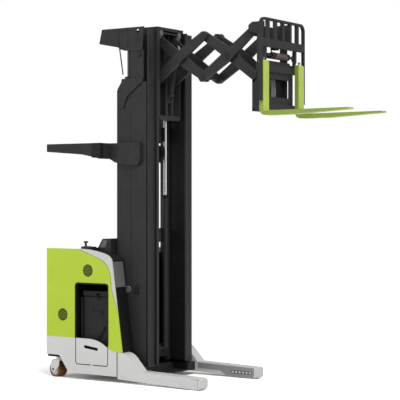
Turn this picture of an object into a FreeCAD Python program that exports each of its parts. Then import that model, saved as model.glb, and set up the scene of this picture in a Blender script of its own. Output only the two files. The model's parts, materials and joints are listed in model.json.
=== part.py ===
import FreeCAD
import Part

import math
import os

# Very narrow aisle truck: a stand-up truck with two straddle legs, a three-stage
# mast and a double-deep scissor carriage. Millimetres.
# Working frame: X forward (fork direction) from the rear face, Y to the truck's
# left, Z up from the floor. Every part is moved back by half the overall length
# when it is written, so the stored origin is the middle of the footprint.

V = FreeCAD.Vector

# ---------------------------------------------------------------- driving sizes
# tractor body
body_half = 550.0            # half width of the truck
wall = 12.0                  # side wall and bulkhead plate
deck_z = 1274.0              # top edge of the side walls
skirt_top = 404.0            # light lower part, rear height
ground_gap = 60.0            # floor pan above the floor
shoulder_x = 815.0           # where the rounded shoulder meets the sloped nose
shoulder_z = 1171.0
nose_x = 940.0               # foot of the sloped nose
nose_z = 296.0
leg_joint_x = 885.0          # rear face of the straddle legs
joint_gap = 10.0             # dark seam between skirt and leg
shell_t = 10.0               # covers of the drive pod
shoulder_start_x = 374.0     # where the flat top begins to fall
trim_low_z = 700.0           # lower point of the light trim
lime_start_x = 390.0         # coloured panel's upper edge, from its rear end down
lime_mid = (725.0, 1160.0)
lime_low = (811.0, 900.0)
skirt_step = (768.0, 326.0)  # light lower part, falling edge
skirt_front = (864.0, 298.0)
arch_x = 156.0               # rear wheel arch
arch_top = 225.0
arch_foot_x = 280.0
vents = ((521.0, 1066.0), (205.0, 625.0))
vent_r = 62.0
vent_depth = 8.0

# battery bay, open at both sides above a lift-out gate
bay_x0 = 368.0
bay_x1 = 768.0
bay_z0 = 150.0
bay_z1 = 939.0
bay_corner = 26.0
gate_gap = 6.0
seat_gap = 0.3               # running or resting gap of parts that are carried
battery_x0 = 385.0
battery_x1 = 712.0
battery_half = 450.0
battery_height = 788.0

# operator's compartment
partition_x = 350.0          # bulkhead between compartment and battery
pod_y = 150.0                # inner wall of the drive pod
pod_top = 1040.0
floor_z = 238.0              # raised floor plate over the rear wheels
mat_t = 12.0

# straddle legs
leg_tip_x = 1845.0
leg_clearance = 63.0         # straddle leg to the outer side of the mast
leg_top = 127.0
leg_top_tip = 111.0
leg_bottom_rear = 38.0
leg_bottom_tip = 6.0
leg_plate = 16.0
load_wheel_r = 50.0
load_wheel_gap = 7.5         # each side of a load wheel
load_axle_r = 12.0
load_wheel_xs = (1640.0, 1765.0)

# rear wheels
caster_x = 119.0
caster_side = 72.5           # swivel axis to the outer side of the body
caster_r = 76.0
caster_w = 100.0
caster_trail = 35.0
caster_turn = -10.7          # swivel angle at rest, degrees
caster_axle_r = 10.0
caster_rim_r = 56.0
yoke_gap = 6.0
yoke_t = 8.0
drive_x = 185.0
drive_y = 345.0
drive_r = 150.0
drive_w = 110.0
drive_axle_r = 25.0
fit = 0.05                   # radial clearance of pins and shafts

# mast
mast_base_z = 60.0
outer_top = 2890.0
outer_face = 365.0           # outer side of the mast
plate_t = 12.0
guard_plate_x = 736.0        # rear edge of the cylinder guard plates
outer_rear_x = 883.0
outer_front_x = 1090.0
flange_t = 14.0
outer_flange_in = 305.0
mid_rear_x = 905.0
mid_front_x = 1116.0
mid_web = 285.0
mid_flange_in = 262.0
mid_rear_flange_out = 343.0
mid_top = 3395.0
inner_rear_x = 927.0
inner_front_x = 1138.0
inner_web = 240.0
inner_flange_in = 190.0
inner_front_flange_in = 222.0
inner_rear_flange_out = 277.0
inner_front_flange_out = 257.0
inner_top = 3400.0
top_plate_t = 30.0
top_plate_half = 215.0
tie_levels = ((200.0, 320.0), (1335.0, 1470.0), (2333.0, 2470.0))
lug_x = 847.0                # round boss on the side of the outer rail
lug_z = 889.0
lug_r = 32.5
lift_x = 838.0
lift_y = 300.0
lift_r = 36.0
lift_rod_r = 20.0
lift_gland_z = 2945.0
head_drop = 180.0            # cross plate that the lift rods push, below the middle rails' top
free_x = 972.0
free_y = 110.0
free_r = 26.0
free_rod_r = 18.0
free_barrel_top = 1800.0
free_head_drop = 100.0       # crosshead below the inner rails' top

# overhead guard
guard_top = 2303.0
guard_rear_h = 76.0
guard_front_x = 673.0
guard_bar = 45.0

# scissor carriage
pivot_x = 1063.0
pivot_drop = 87.0            # first pin below the inner rails' top
arm_len = 667.0              # pin to pin
arm_angle = 36.2             # below horizontal at rest, degrees
arm_end = 40.0               # half width of an arm at its ends
arm_belly = 68.0             # half width at the crossing, on the arm's bulged edge
arm_over = 46.0              # arm beyond its end pins
arm_t = 30.0
arm_gap = 5.0
outer_arm_y = 158.0
boss_r = 41.0
boss_t = 4.0
pin_r = 18.0
roller_r = 28.0
roller_w = 24.0
roller_y = 70.0              # outer side of the arm rollers
channel_gap = 5.0
channel_bar = 12.0
post_t = 8.0
post_web_y = 40.0            # outer side of the posts' webs
post_out_y = 64.0            # outer side of their flanges
carriage_plate_y = 165.0
carriage_plate_t = 15.0
carriage_drop = 870.0        # carriage's lower edge below the inner rails' top
guide_r = 45.0
open_fit = 0.5               # radial clearance of a pin that takes up the scissor's play
tube_along = 150.0           # reach cylinder's cross tube, along the first arm
tube_r = 16.0
reach_eye_ahead = 55.0       # reach cylinder's lower eye, ahead of the first pin
reach_eye_up = 250.0         # and above the carriage's lower edge
reach_pin_r = 10.0
reach_barrel_r = 24.0
reach_barrel_len = 270.0
reach_rod_r = 14.0
reach_rod_len = 250.0
reach_drift = 11.5           # play of the upper eye round the cross tube
reach_eye_r = 37.0

# fork carriage and forks
fork_frame_y = 198.0
fork_frame_t = 14.0
fork_frame_front = 2318.0
fork_frame_drop = 730.0      # lower edge below the upper pins
fork_frame_over = 85.0       # upper edge above them
column_x = 2242.0
lug_y = 114.0                # outer side of the lugs that hold the upper fork pin
lug_t = 22.0
shift_plate_t = 12.0
shift_gap = 5.0
shift_cyl_r = 28.0
shift_cyl_half = 150.0
shift_cyl_up = 125.0         # cylinder above the sliding guide
guide_up = 377.0             # sliding guide above the frame's lower edge
guide_h = 60.0
shift_rod_r = 12.0
fork_bar_t = 18.0
fork_shank_t = 43.0
fork_w = 100.0
fork_y = 317.0
fork_tip_x = 3285.0
fork_drop = 61.0             # blades below the frame's lower edge
fork_h = 491.0
fork_blade_t = 42.0
fork_tip_t = 14.0
backrest_half = 394.0
backrest_x = 2375.0
backrest_post = 23.0         # width of its outer tube
backrest_foot_up = 72.0      # foot above the frame's lower edge
backrest_over = 402.0        # top above the forks' shanks
backrest_rail_over = 136.0   # rail's underside above the forks' shanks
backrest_rail_h = 75.0
backrest_bar = 36.0
backrest_bars = 5
backrest_t = 28.0

# ---------------------------------------------------------------- derived places
origin_x = fork_tip_x / 2.0
wall_in = body_half - wall
leg_in = outer_face + leg_clearance
leg_width = body_half - leg_in
load_wheel_w = leg_width - 2.0 * (leg_plate + load_wheel_gap)
pivot_z = inner_top - pivot_drop
carriage_bottom = inner_top - carriage_drop
free_head_z = inner_top - free_head_drop
arm_rad = math.radians(arm_angle)
half_span = arm_len * math.cos(arm_rad) / 2.0
arm_drop = arm_len * math.sin(arm_rad)
low_z = pivot_z - arm_drop
post_top = low_z + 30.0
cross_z = pivot_z - arm_drop / 2.0
pin_xs = [pivot_x + i * half_span for i in range(5)]
inner_arm_y = outer_arm_y - arm_t - arm_gap
shift_x = fork_frame_front + channel_bar + shift_gap
shift_cyl_x = fork_frame_front + 14.0 + shift_cyl_r
reach_eye = (pivot_x + reach_eye_ahead, carriage_bottom + reach_eye_up)
fork_frame_bottom = pivot_z - fork_frame_drop
fork_frame_top = pivot_z + fork_frame_over
guide_z = fork_frame_bottom + guide_up
guide_top = guide_z + guide_h
shift_cyl_z = guide_z + shift_cyl_up
fork_bottom = fork_frame_bottom - fork_drop
fork_top = fork_bottom + fork_h
backrest_foot = fork_frame_bottom + backrest_foot_up
backrest_top = fork_top + backrest_over
backrest_rail_z = fork_top + backrest_rail_over
ear_top = backrest_rail_z + 60.0
caster_y = -body_half + caster_side
caster_axle_x = caster_x - caster_trail
yoke_in = caster_w / 2.0 + yoke_gap
bar_x = shift_x + shift_plate_t
shank_x = bar_x + fork_bar_t
shank_front = shank_x + fork_shank_t
head_z = mid_top - head_drop


# ---------------------------------------------------------------- helpers
def block(x0, x1, y0, y1, z0, z1):
    return Part.makeBox(x1 - x0, y1 - y0, z1 - z0, V(x0, y0, z0))


def rod(p0, p1, r):
    a = V(*p0)
    b = V(*p1)
    return Part.makeCylinder(r, (b - a).Length, a, b - a)


def outline_edges(points, to_vector):
    """Edges of a closed outline. A step is a corner (a, b), or (mid, end) for an arc."""
    edges = []
    here = points[0]
    for step in list(points[1:]) + [points[0]]:
        if isinstance(step[0], tuple):
            mid, end = step
            edges.append(Part.Arc(to_vector(here), to_vector(mid), to_vector(end)).toShape())
        else:
            end = step
            if math.dist(here, end) > 1e-6:
                edges.append(Part.LineSegment(to_vector(here), to_vector(end)).toShape())
        here = end
    return edges


def side_prism(points, y0, y1):
    """Outline in X and Z, pushed from y0 to y1."""
    edges = outline_edges(points, lambda p: V(p[0], y0, p[1]))
    return Part.Face(Part.Wire(edges)).extrude(V(0, y1 - y0, 0))


def plan_prism(points, z0, z1):
    """Outline in X and Y, pushed from z0 to z1."""
    edges = outline_edges(points, lambda p: V(p[0], p[1], z0))
    return Part.Face(Part.Wire(edges)).extrude(V(0, 0, z1 - z0))


def front_prism(points, x0, x1):
    """Outline in Y and Z, pushed from x0 to x1."""
    edges = outline_edges(points, lambda p: V(x0, p[0], p[1]))
    return Part.Face(Part.Wire(edges)).extrude(V(x1 - x0, 0, 0))


def rounded_rect(a0, a1, b0, b1, r):
    """Corner-rounded rectangle as outline steps."""
    k = r * (1.0 - math.sqrt(0.5))
    return [(a0 + r, b0), (a1 - r, b0), ((a1 - k, b0 + k), (a1, b0 + r)),
            (a1, b1 - r), ((a1 - k, b1 - k), (a1 - r, b1)),
            (a0 + r, b1), ((a0 + k, b1 - k), (a0, b1 - r)),
            (a0, b0 + r), ((a0 + k, b0 + k), (a0 + r, b0))]


def mirrored(shape):
    return shape.mirror(V(0, 0, 0), V(0, 1, 0))


def both_sides(shape):
    return [shape, mirrored(shape)]


def fuse(shapes):
    first = shapes[0]
    return first.multiFuse(shapes[1:]).removeSplitter() if len(shapes) > 1 else first


def cut(shape, tools):
    return shape.cut(tools)


def export(node, shapes):
    """Write one sub-part, moved so that the footprint's middle is the origin."""
    solids = [s for shape in shapes for s in shape.Solids]
    whole = Part.makeCompound(solids) if len(solids) > 1 else solids[0].copy()
    whole.translate(V(-origin_x, 0, 0))
    whole.exportStep("parts/%s.step" % node)


def nose_at(z):
    """X of the sloped front edge of the side walls at height z."""
    return shoulder_x + (shoulder_z - z) * (nose_x - shoulder_x) / (shoulder_z - nose_z)


# ---------------------------------------------------------------- tractor body
def bay_cut(y0, y1):
    return side_prism(rounded_rect(bay_x0, bay_x1, bay_z0, bay_z1, bay_corner), y0, y1)


def shoulder_steps():
    """Rounded top front of the side walls, from the flat top to the sloped nose."""
    return [(shoulder_start_x, deck_z),
            ((585.0, deck_z - 10.0), (735.0, deck_z - 42.0)),
            ((787.0, deck_z - 67.0), (shoulder_x, shoulder_z))]


def upper_panel():
    y0, y1 = -body_half, -wall_in
    lime = side_prism([
        (0, skirt_top), (0, deck_z), (lime_start_x, deck_z),
        ((562.0, 1220.0), lime_mid), ((786.0, 1078.0), lime_low),
        (nose_at(trim_low_z), trim_low_z), (nose_at(nose_z), nose_z),
        skirt_front, ((815.0, 307.0), skirt_step), (bay_x0, skirt_top)], y0, y1)
    recesses = [rod((x, y0 - 1.0, z), (x, y0 + vent_depth, z), vent_r) for x, z in vents]
    return cut(lime, [bay_cut(y0, y1)] + recesses)


def shoulder_trim():
    steps = shoulder_steps()
    lime_back = [(nose_at(trim_low_z), trim_low_z), lime_low,
                 ((786.0, 1078.0), lime_mid), ((562.0, 1220.0), (lime_start_x, deck_z))]
    return side_prism(steps + lime_back, -body_half, -wall_in)


def skirt():
    y0, y1 = -body_half, -wall_in
    end_x = leg_joint_x - joint_gap
    side = side_prism([
        (0, skirt_top), (bay_x0, skirt_top), skirt_step,
        ((815.0, 307.0), skirt_front), (end_x, nose_z + 1.0), (end_x, ground_gap),
        (arch_foot_x, ground_gap), (arch_x + 14.0, arch_top - 18.0),
        ((arch_x + 3.0, arch_top - 4.0), (arch_x - 14.0, arch_top)), (0, arch_top)], y0, y1)
    return cut(side, [bay_cut(y0, y1)])


def bay_gate():
    """Lift-out battery gate with a hand slot, standing on one tab."""
    x0, x1 = bay_x0 + gate_gap, bay_x1 - gate_gap
    z0 = bay_z0 + gate_gap
    mid_x = (x0 + x1) / 2.0
    y0, y1 = -body_half, -wall_in
    r = bay_corner - gate_gap
    k = r * (1.0 - math.sqrt(0.5))
    plate = side_prism([
        (x0 + r, z0), (x1 - r, z0), ((x1 - k, z0 + k), (x1, z0 + r)), (x1, skirt_step[1] + 4.0),
        (728.0, 344.0),
        ((700.0, 362.0), (664.0, 379.0)), ((600.0, 396.0), (520.0, skirt_top)),
        (x0, skirt_top), (x0, z0 + r), ((x0 + k, z0 + k), (x0 + r, z0))], y0, y1)
    tab = block(mid_x - 25.0, mid_x + 25.0, y0, y1, bay_z0 + seat_gap, z0 + 1.0)
    slot = side_prism(rounded_rect(-89.0, 89.0, -15.0, 15.0, 14.9), y0 - 1.0, y1 + 1.0)
    slot.rotate(V(0, 0, 0), V(0, 1, 0), 7.0)
    slot.translate(V(mid_x - 10.0, 0, 316.0))
    return cut(fuse([plate, tab]), [slot])


def nose_wall(y0, y1, thick):
    """Sloped bulkhead behind the nose edge."""
    low = ground_gap + wall
    return side_prism([
        (nose_at(shoulder_z) - thick, shoulder_z), (nose_at(shoulder_z), shoulder_z),
        (nose_at(nose_z), nose_z), (leg_joint_x, nose_z), (leg_joint_x, low),
        (leg_joint_x - thick, low), (leg_joint_x - thick, nose_z + 60.0)], y0, y1)


def chassis_frame():
    pan_z1 = ground_gap + wall
    pod_in = outer_face + 1.0
    pan = cut(block(arch_foot_x, leg_joint_x, -wall_in, wall_in, ground_gap, pan_z1),
              [block(arch_foot_x, partition_x, pod_y + shell_t, wall_in, 0, 100.0)])
    rear_floor = block(wall, partition_x, -wall_in, wall_in, floor_z, floor_z + wall)
    caster_hole = rod((caster_x, caster_y, 0), (caster_x, caster_y, 400), 15.0 + fit)
    pod_hole = block(wall, partition_x, pod_y + shell_t, wall_in, 0, 400)
    drive_seat = block(wall + shell_t, partition_x, pod_y + shell_t, wall_in, 330, 345)
    drive_hole = rod((drive_x, drive_y, 0), (drive_x, drive_y, 400), 80.0 + 10.0)
    rear_floor = cut(rear_floor, [caster_hole, pod_hole])
    drive_seat = cut(drive_seat, [drive_hole])
    partition = block(partition_x, partition_x + wall, -wall_in, wall_in, ground_gap, deck_z - 39.0)
    mast_wall = block(guard_plate_x - wall - 4.0, guard_plate_x - 4.0, -pod_in - wall, pod_in + wall,
                      pan_z1, deck_z - 59.0)
    web_top = deck_z - 114.0
    webs = []
    for side in both_sides(side_prism([
            (guard_plate_x - 4.0, pan_z1), (leg_joint_x - wall, pan_z1),
            (leg_joint_x - wall, nose_z + 60.0), (nose_at(web_top) - wall, web_top),
            (guard_plate_x - 4.0, web_top)], -pod_in - wall, -pod_in)):
        webs.append(side)
    noses = both_sides(nose_wall(-wall_in, -pod_in, wall))
    toe = block(leg_joint_x - wall, leg_joint_x, -pod_in, pod_in, ground_gap, pan_z1)
    boss_pockets = [rod((lug_x, s * (pod_in - 1.0), lug_z), (lug_x, s * (pod_in + wall), lug_z), lug_r + 3.0)
                    for s in (-1, 1)]
    return cut(fuse([pan, rear_floor, drive_seat, partition, mast_wall, toe] + webs + noses), boss_pockets)


def console_deck():
    """Dark top deck between the side walls, notched around the mast."""
    t = wall
    deck = side_prism([
        (partition_x, deck_z - 24.0), (partition_x, deck_z - 12.0), (shoulder_start_x, deck_z - 12.0),
        ((583.0, deck_z - 22.0), (731.0, deck_z - 54.0)),
        ((778.0, deck_z - 76.0), (803.0, shoulder_z)),
        (803.0 - t, shoulder_z), ((768.0, deck_z - 86.0), (727.0, deck_z - 66.0)),
        ((581.0, deck_z - 34.0), (shoulder_start_x, deck_z - 24.0))], -wall_in, wall_in)
    notch = block(guard_plate_x - 4.0 - wall, 900, -outer_face - 1.0 - wall, outer_face + 1.0 + wall,
                  1000, 1400)
    return cut(deck, [notch])


def console():
    """Display hood and control housing on the deck."""
    top = deck_z + 100.0
    base = side_prism([(430.0, deck_z - 26.0), (430.0, deck_z + 6.0), (560.0, deck_z + 12.0),
                       (610.0, top - 8.0), (628.0, top), (716.0, top), (716.0, deck_z - 70.0)],
                      -body_half + 110.0, -120.0)
    return max(cut(base, [console_deck()]).Solids, key=lambda solid: solid.BoundBox.ZMax)


def armrest():
    y0 = -body_half + 20.0
    x, y = 440.0, y0 + 50.0
    pad = block(x - 20.0, 545.0, y0, y0 + 84.0, deck_z - 12.0, deck_z + 22.0)
    stick = rod((x, y, deck_z + 22.0), (x, y, deck_z + 62.0), 11.0)
    knob = rod((x, y, deck_z + 58.0), (x, y, deck_z + 74.0), 22.0)
    return cut(fuse([pad, stick, knob]), [console_deck()])


def drive_pod():
    """Hollow cover over the drive unit, with the steering column on top."""
    x0, x1 = wall, partition_x
    y0, y1 = pod_y, wall_in
    shell = block(x0, x1, y0, y1, floor_z + wall, pod_top)
    hollow = block(x0 + shell_t, x1, y0 + shell_t, y1, 0, pod_top - shell_t)
    return cut(shell, [hollow])


def steering_tiller():
    cx, cy = drive_x, drive_y
    column = rod((cx, cy, pod_top), (cx, cy, pod_top + 50.0), 32.0)
    rim = cut(rod((cx, cy, pod_top + 50.0), (cx, cy, pod_top + 72.0), 105.0),
              [rod((cx, cy, pod_top + 40.0), (cx, cy, pod_top + 80.0), 85.0)])
    hub = rod((cx, cy, pod_top + 48.0), (cx, cy, pod_top + 68.0), 34.0)
    spoke = block(cx - 95.0, cx + 95.0, cy - 14.0, cy + 14.0, pod_top + 52.0, pod_top + 64.0)
    knob = rod((cx - 95.0, cy, pod_top + 70.0), (cx - 95.0, cy, pod_top + 118.0), 17.0)
    return fuse([column, rim, hub, spoke, knob])


# ---------------------------------------------------------------- straddle legs
def straddle_leg():
    y0, y1 = -body_half, -leg_in
    tip_r = 26.0
    body = side_prism([
        (leg_joint_x, leg_bottom_rear), (leg_tip_x - 60.0, leg_bottom_tip),
        (leg_tip_x - tip_r, leg_bottom_tip + 4.0),
        ((leg_tip_x - 7.0, leg_bottom_tip + 12.0), (leg_tip_x, leg_bottom_tip + 30.0)),
        (leg_tip_x, leg_top_tip - tip_r),
        ((leg_tip_x - 7.0, leg_top_tip - 7.0), (leg_tip_x - tip_r, leg_top_tip)),
        (1145.0, leg_top), (1052.0, 226.0), ((1000.0, 272.0), (930.0, nose_z - 3.0)),
        (leg_joint_x, nose_z)], y0, y1)
    slot = block(load_wheel_xs[0] - 80.0, load_wheel_xs[-1] + 62.0,
                 y0 + leg_plate, y1 - leg_plate, 0, 2.0 * load_wheel_r + 4.0)
    leg = cut(body, [slot])
    axles = [rod((x, y0 + leg_plate - 2.0, load_wheel_r), (x, y1 - leg_plate + 2.0, load_wheel_r),
                 load_axle_r) for x in load_wheel_xs]
    return fuse([leg] + axles)


def load_wheel(x, side):
    y = side * (body_half - leg_width / 2.0)
    h = load_wheel_w / 2.0
    tyre = rod((x, y - h, load_wheel_r), (x, y + h, load_wheel_r), load_wheel_r)
    bore = rod((x, y - h - 1, load_wheel_r), (x, y + h + 1, load_wheel_r), load_axle_r + fit)
    return cut(tyre, [bore])


# ---------------------------------------------------------------- rear wheels
def turned_caster(shape):
    shape.rotate(V(caster_x, caster_y, 0), V(0, 0, 1), caster_turn)
    return shape


def on_caster_axle(half, r):
    """Round body on the caster's axle, before it is turned."""
    return rod((caster_axle_x, caster_y - half, caster_r), (caster_axle_x, caster_y + half, caster_r), r)


def caster_fork():
    cheek_out = yoke_in + yoke_t
    top_z = 2.0 * caster_r + 20.0
    top = block(caster_x - 48.0, caster_x + 48.0, caster_y - cheek_out, caster_y + cheek_out,
                top_z - 10.0, top_z)
    cheeks = [side_prism([(caster_axle_x - 22.0, caster_r - 12.0),
                          ((caster_axle_x, caster_r - 28.0), (caster_axle_x + 22.0, caster_r - 12.0)),
                          (caster_x + 46.0, caster_r + 60.0), (caster_x + 46.0, top_z),
                          (caster_x - 46.0, top_z), (caster_x - 46.0, caster_r + 40.0)], y0, y1)
              for y0, y1 in ((caster_y - cheek_out, caster_y - yoke_in),
                             (caster_y + yoke_in, caster_y + cheek_out))]
    bearing = rod((caster_x, caster_y, top_z), (caster_x, caster_y, floor_z - seat_gap), 44.0)
    stem = rod((caster_x, caster_y, top_z), (caster_x, caster_y, floor_z + wall - 1.0), 15.0)
    axle = rod((caster_axle_x, caster_y - cheek_out - 6.0, caster_r),
               (caster_axle_x, caster_y + cheek_out + 6.0, caster_r), caster_axle_r)
    return turned_caster(fuse([top] + cheeks + [bearing, stem, axle]))


def caster_hub():
    hub = on_caster_axle(caster_w / 2.0 + 3.0, 30.0)
    web = on_caster_axle(caster_w / 2.0 - 4.0, caster_rim_r)
    bore = on_caster_axle(caster_w, caster_axle_r + fit)
    return turned_caster(cut(fuse([hub, web]), [bore]))


def caster_tyre():
    tyre = on_caster_axle(caster_w / 2.0, caster_r)
    return turned_caster(cut(tyre, [on_caster_axle(caster_w, caster_rim_r)]))


def steer_unit():
    """Turntable, gearbox arm and axle of the driven wheel."""
    arm_y1 = drive_y - drive_w / 2.0 - 10.0
    arm_y0 = arm_y1 - 45.0
    seat = 345.0 + seat_gap
    table = rod((drive_x, drive_y, seat), (drive_x, drive_y, seat + 30.0), 120.0)
    neck = rod((drive_x, drive_y, 306.0), (drive_x, drive_y, seat + 10.0), 80.0)
    bridge = block(drive_x - 55.0, drive_x + 55.0, arm_y0, drive_y + 20.0, 306.0, 326.0)
    arm = side_prism([(drive_x - 55.0, 326.0), (drive_x - 45.0, drive_r - 10.0),
                      ((drive_x, drive_r - 60.0), (drive_x + 45.0, drive_r - 10.0)),
                      (drive_x + 55.0, 326.0)], arm_y0, arm_y1)
    axle = rod((drive_x, arm_y1 - 1.0, drive_r), (drive_x, drive_y + drive_w / 2.0 - 12.0, drive_r),
               drive_axle_r)
    return fuse([table, neck, bridge, arm, axle])


def drive_motor():
    base = 345.0 + seat_gap + 30.0
    return rod((drive_x, drive_y, base), (drive_x, drive_y, base + 320.0), 95.0)


def drive_hub():
    h = drive_w / 2.0
    hub = rod((drive_x, drive_y - h, drive_r), (drive_x, drive_y + h, drive_r), 115.0)
    dish = rod((drive_x, drive_y + h - 30.0, drive_r), (drive_x, drive_y + h + 1.0, drive_r), 90.0)
    ring = rod((drive_x, drive_y + h - 31.0, drive_r), (drive_x, drive_y + h + 1.0, drive_r), 40.0)
    bore = rod((drive_x, drive_y - h - 1, drive_r), (drive_x, drive_y + h - 11.5, drive_r),
               drive_axle_r + fit)
    return cut(hub, [cut(dish, [ring]), bore])


def drive_tyre():
    h = drive_w / 2.0
    tyre = rod((drive_x, drive_y - h, drive_r), (drive_x, drive_y + h, drive_r), drive_r)
    return cut(tyre, [rod((drive_x, drive_y - h - 1, drive_r), (drive_x, drive_y + h + 1, drive_r), 115.0)])


# ---------------------------------------------------------------- mast
def rail(rear_x, front_x, web_in, web_t, rear_flange, front_flange, z0, z1):
    """One rail on the right side: a web with a rear and a front flange.
    rear_flange and front_flange are (inner, outer) distances from the middle."""
    web = block(rear_x, front_x, -web_in - web_t, -web_in, z0, z1)
    rear = block(rear_x, rear_x + flange_t, -rear_flange[1], -rear_flange[0], z0, z1)
    front = block(front_x - flange_t, front_x, -front_flange[1], -front_flange[0], z0, z1)
    return fuse([web, rear, front])


def ties(x0, x1, half, levels):
    return [block(x0, x1, -half, half, z0, z1) for z0, z1 in levels]


def outer_rail():
    post = rail(outer_rear_x, outer_front_x, outer_face - plate_t, plate_t,
                (outer_flange_in, outer_face), (outer_flange_in, outer_face), leg_top, outer_top)
    y0, y1 = -outer_face, -outer_face + plate_t
    guard_plate = side_prism([
        (guard_plate_x, ground_gap + wall), (leg_joint_x, ground_gap + wall), (leg_joint_x, outer_top - 20.0),
        (790.0, outer_top - 3.0), (749.0, outer_top - 60.0), (guard_plate_x, outer_top - 75.0)], y0, y1)
    gusset = side_prism([
        (749.0, 2640.0), (749.0, 2830.0), (790.0, 2887.0), (800.0, 2925.0), (1040.0, 2925.0),
        ((1052.0, 2905.0), (1046.0, 2876.0)), (866.0, 2757.0), (820.0, 2640.0)],
        y0 - 8.0, y0)
    collar_block = block(lift_x - 30.0, lift_x + 30.0, -outer_face + plate_t, -lift_y - lift_r,
                         2700.0, 2800.0)
    boss = rod((lug_x, y0 - 8.0, lug_z), (lug_x, y0, lug_z), lug_r)
    pad = block(957.0, 1003.0, y0 - 10.0, y0, lug_z - 45.0, lug_z + 45.0)
    return fuse([post, guard_plate, gusset, collar_block, boss, pad])


def mast_base():
    """Low tray between the legs that carries the outer rails; the carriage comes down inside it."""
    x1 = mid_front_x - 4.0
    back = block(leg_joint_x, leg_joint_x + 60.0, -leg_in, leg_in, mast_base_z, leg_top)
    side = block(leg_joint_x, x1, -leg_in, -outer_flange_in, mast_base_z, leg_top)
    tray = block(leg_joint_x, x1, -leg_in, leg_in, mast_base_z - wall, mast_base_z)
    return fuse([back, tray] + both_sides(side))


def lift_cylinder():
    foot = ground_gap + wall
    barrel = rod((lift_x, -lift_y, foot), (lift_x, -lift_y, lift_gland_z - 20.0), lift_r)
    gland = rod((lift_x, -lift_y, lift_gland_z - 22.0), (lift_x, -lift_y, lift_gland_z), lift_r + 7.0)
    bore = rod((lift_x, -lift_y, 380.0), (lift_x, -lift_y, lift_gland_z + 1.0), lift_rod_r + fit)
    return cut(fuse([barrel, gland]), [bore])


def lift_rod():
    return rod((lift_x, -lift_y, 400.0), (lift_x, -lift_y, head_z), lift_rod_r)


def mid_rail():
    post = rail(mid_rear_x, mid_front_x, mid_web, plate_t,
                (mid_flange_in, mid_rear_flange_out), (mid_flange_in, outer_face), 150.0, mid_top)
    shoe = block(mid_rear_x, mid_rear_x + flange_t, -(outer_face - plate_t - seat_gap),
                 -mid_rear_flange_out, 160.0, 260.0)
    return fuse([post, shoe])


def mast_head():
    """Folded head frame behind the mid rails; the lift rods push its cross plate."""
    y0, y1 = -outer_face, -outer_face + plate_t
    top = mid_top
    side = side_prism([
        (515.0, top - 114.0), (549.0, top + 26.0), (1060.0, top + 25.0), (1040.0, top - 205.0),
        (822.0, top - 196.0), (757.0, top - 162.0)], y0, y1)
    eye = rod((985.0, y0 - 1, top - 15.0), (985.0, y1 + 1, top - 15.0), 20.0)
    side = cut(side, [eye])
    lower = side_prism([(885.0, outer_top + 6.0), (1050.0, outer_top + 6.0), (1050.0, top - 195.0),
                        (885.0, top - 195.0)], -mid_rear_flange_out - plate_t, -mid_rear_flange_out)
    cross = block(545.0, 557.0, -outer_face + plate_t, outer_face - plate_t, top - 105.0, top + 15.0)
    shelf = block(757.0, 905.0, -outer_face + plate_t, outer_face - plate_t, head_z, head_z + 15.0)
    tie = block(mid_rear_x - 20.0, mid_rear_x, -outer_face + plate_t, outer_face - plate_t,
                head_z, top - 5.0)
    return fuse(both_sides(side) + both_sides(lower) + [cross, shelf, tie])


def inner_rail():
    post = rail(inner_rear_x, inner_front_x, inner_web, plate_t,
                (inner_flange_in, inner_rear_flange_out), (inner_front_flange_in, inner_front_flange_out),
                165.0, inner_top)
    shoe = block(inner_rear_x, inner_rear_x + flange_t, -(mid_web - seat_gap),
                 -inner_rear_flange_out, 175.0, 275.0)
    return fuse([post, shoe])


def inner_ties():
    x0 = inner_rear_x
    x1 = inner_rear_x + flange_t
    plates = ties(x0, x1, inner_flange_in, tie_levels + ((inner_top - 220.0, inner_top - 100.0),))
    shelf = block(x1, free_x + free_r, -free_y - free_r, free_y + free_r, 285.0, 300.0)
    pads = [block(x1, free_x, y - 12.0, y + 12.0, z0 + 20.0, z1 - 20.0)
            for z0, z1 in tie_levels[1:2] for y in (-free_y, free_y)]
    barrels = [rod((free_x, y, 300.0), (free_x, y, 1480.0), free_r + 1.0) for y in (-free_y, free_y)]
    pads = [cut(pad, barrels) for pad in pads]
    return fuse(plates[:1] + [shelf]), plates[1:], pads


def top_plate():
    return block(inner_rear_x, mid_front_x, -top_plate_half, top_plate_half, inner_top,
                 inner_top + top_plate_t)


def free_lift_barrel(y):
    barrel = rod((free_x, y, 300.0), (free_x, y, free_barrel_top), free_r)
    bore = rod((free_x, y, 312.0), (free_x, y, free_barrel_top + 1.0), free_rod_r + fit)
    return cut(barrel, [bore])


def free_lift_rams():
    rams = [rod((free_x, y, 1570.0), (free_x, y, free_head_z + 1.0), free_rod_r)
            for y in (-free_y, free_y)]
    head = block(free_x - 18.0, free_x + 18.0, -free_y - 36.0, free_y + 36.0, free_head_z,
                 free_head_z + 36.0)
    return fuse(rams + [head])


# ---------------------------------------------------------------- overhead guard
def guard_beam():
    y0, y1 = -body_half, -body_half + guard_bar
    low = guard_top - guard_rear_h
    return side_prism([(0, low), (0, guard_top), (guard_front_x, guard_top),
                       (guard_front_x, guard_top - 151.0), (449.0, low - 33.0)], y0, y1)


def guard_frame():
    low = guard_top - guard_rear_h
    inner = body_half - guard_bar
    rear = block(0, 60.0, -inner, inner, low, guard_top)
    front = block(guard_front_x - 60.0, guard_front_x, -inner, inner, guard_top - 151.0, guard_top)
    count = 7
    pitch = 2.0 * inner / (count + 1)
    bars = [block(60.0, guard_front_x - 60.0, -inner + pitch * (i + 1) - 9.0, -inner + pitch * (i + 1) + 9.0,
                  guard_top - 50.0, guard_top) for i in range(count)]
    return fuse(both_sides(guard_beam()) + [rear, front] + bars)


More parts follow.
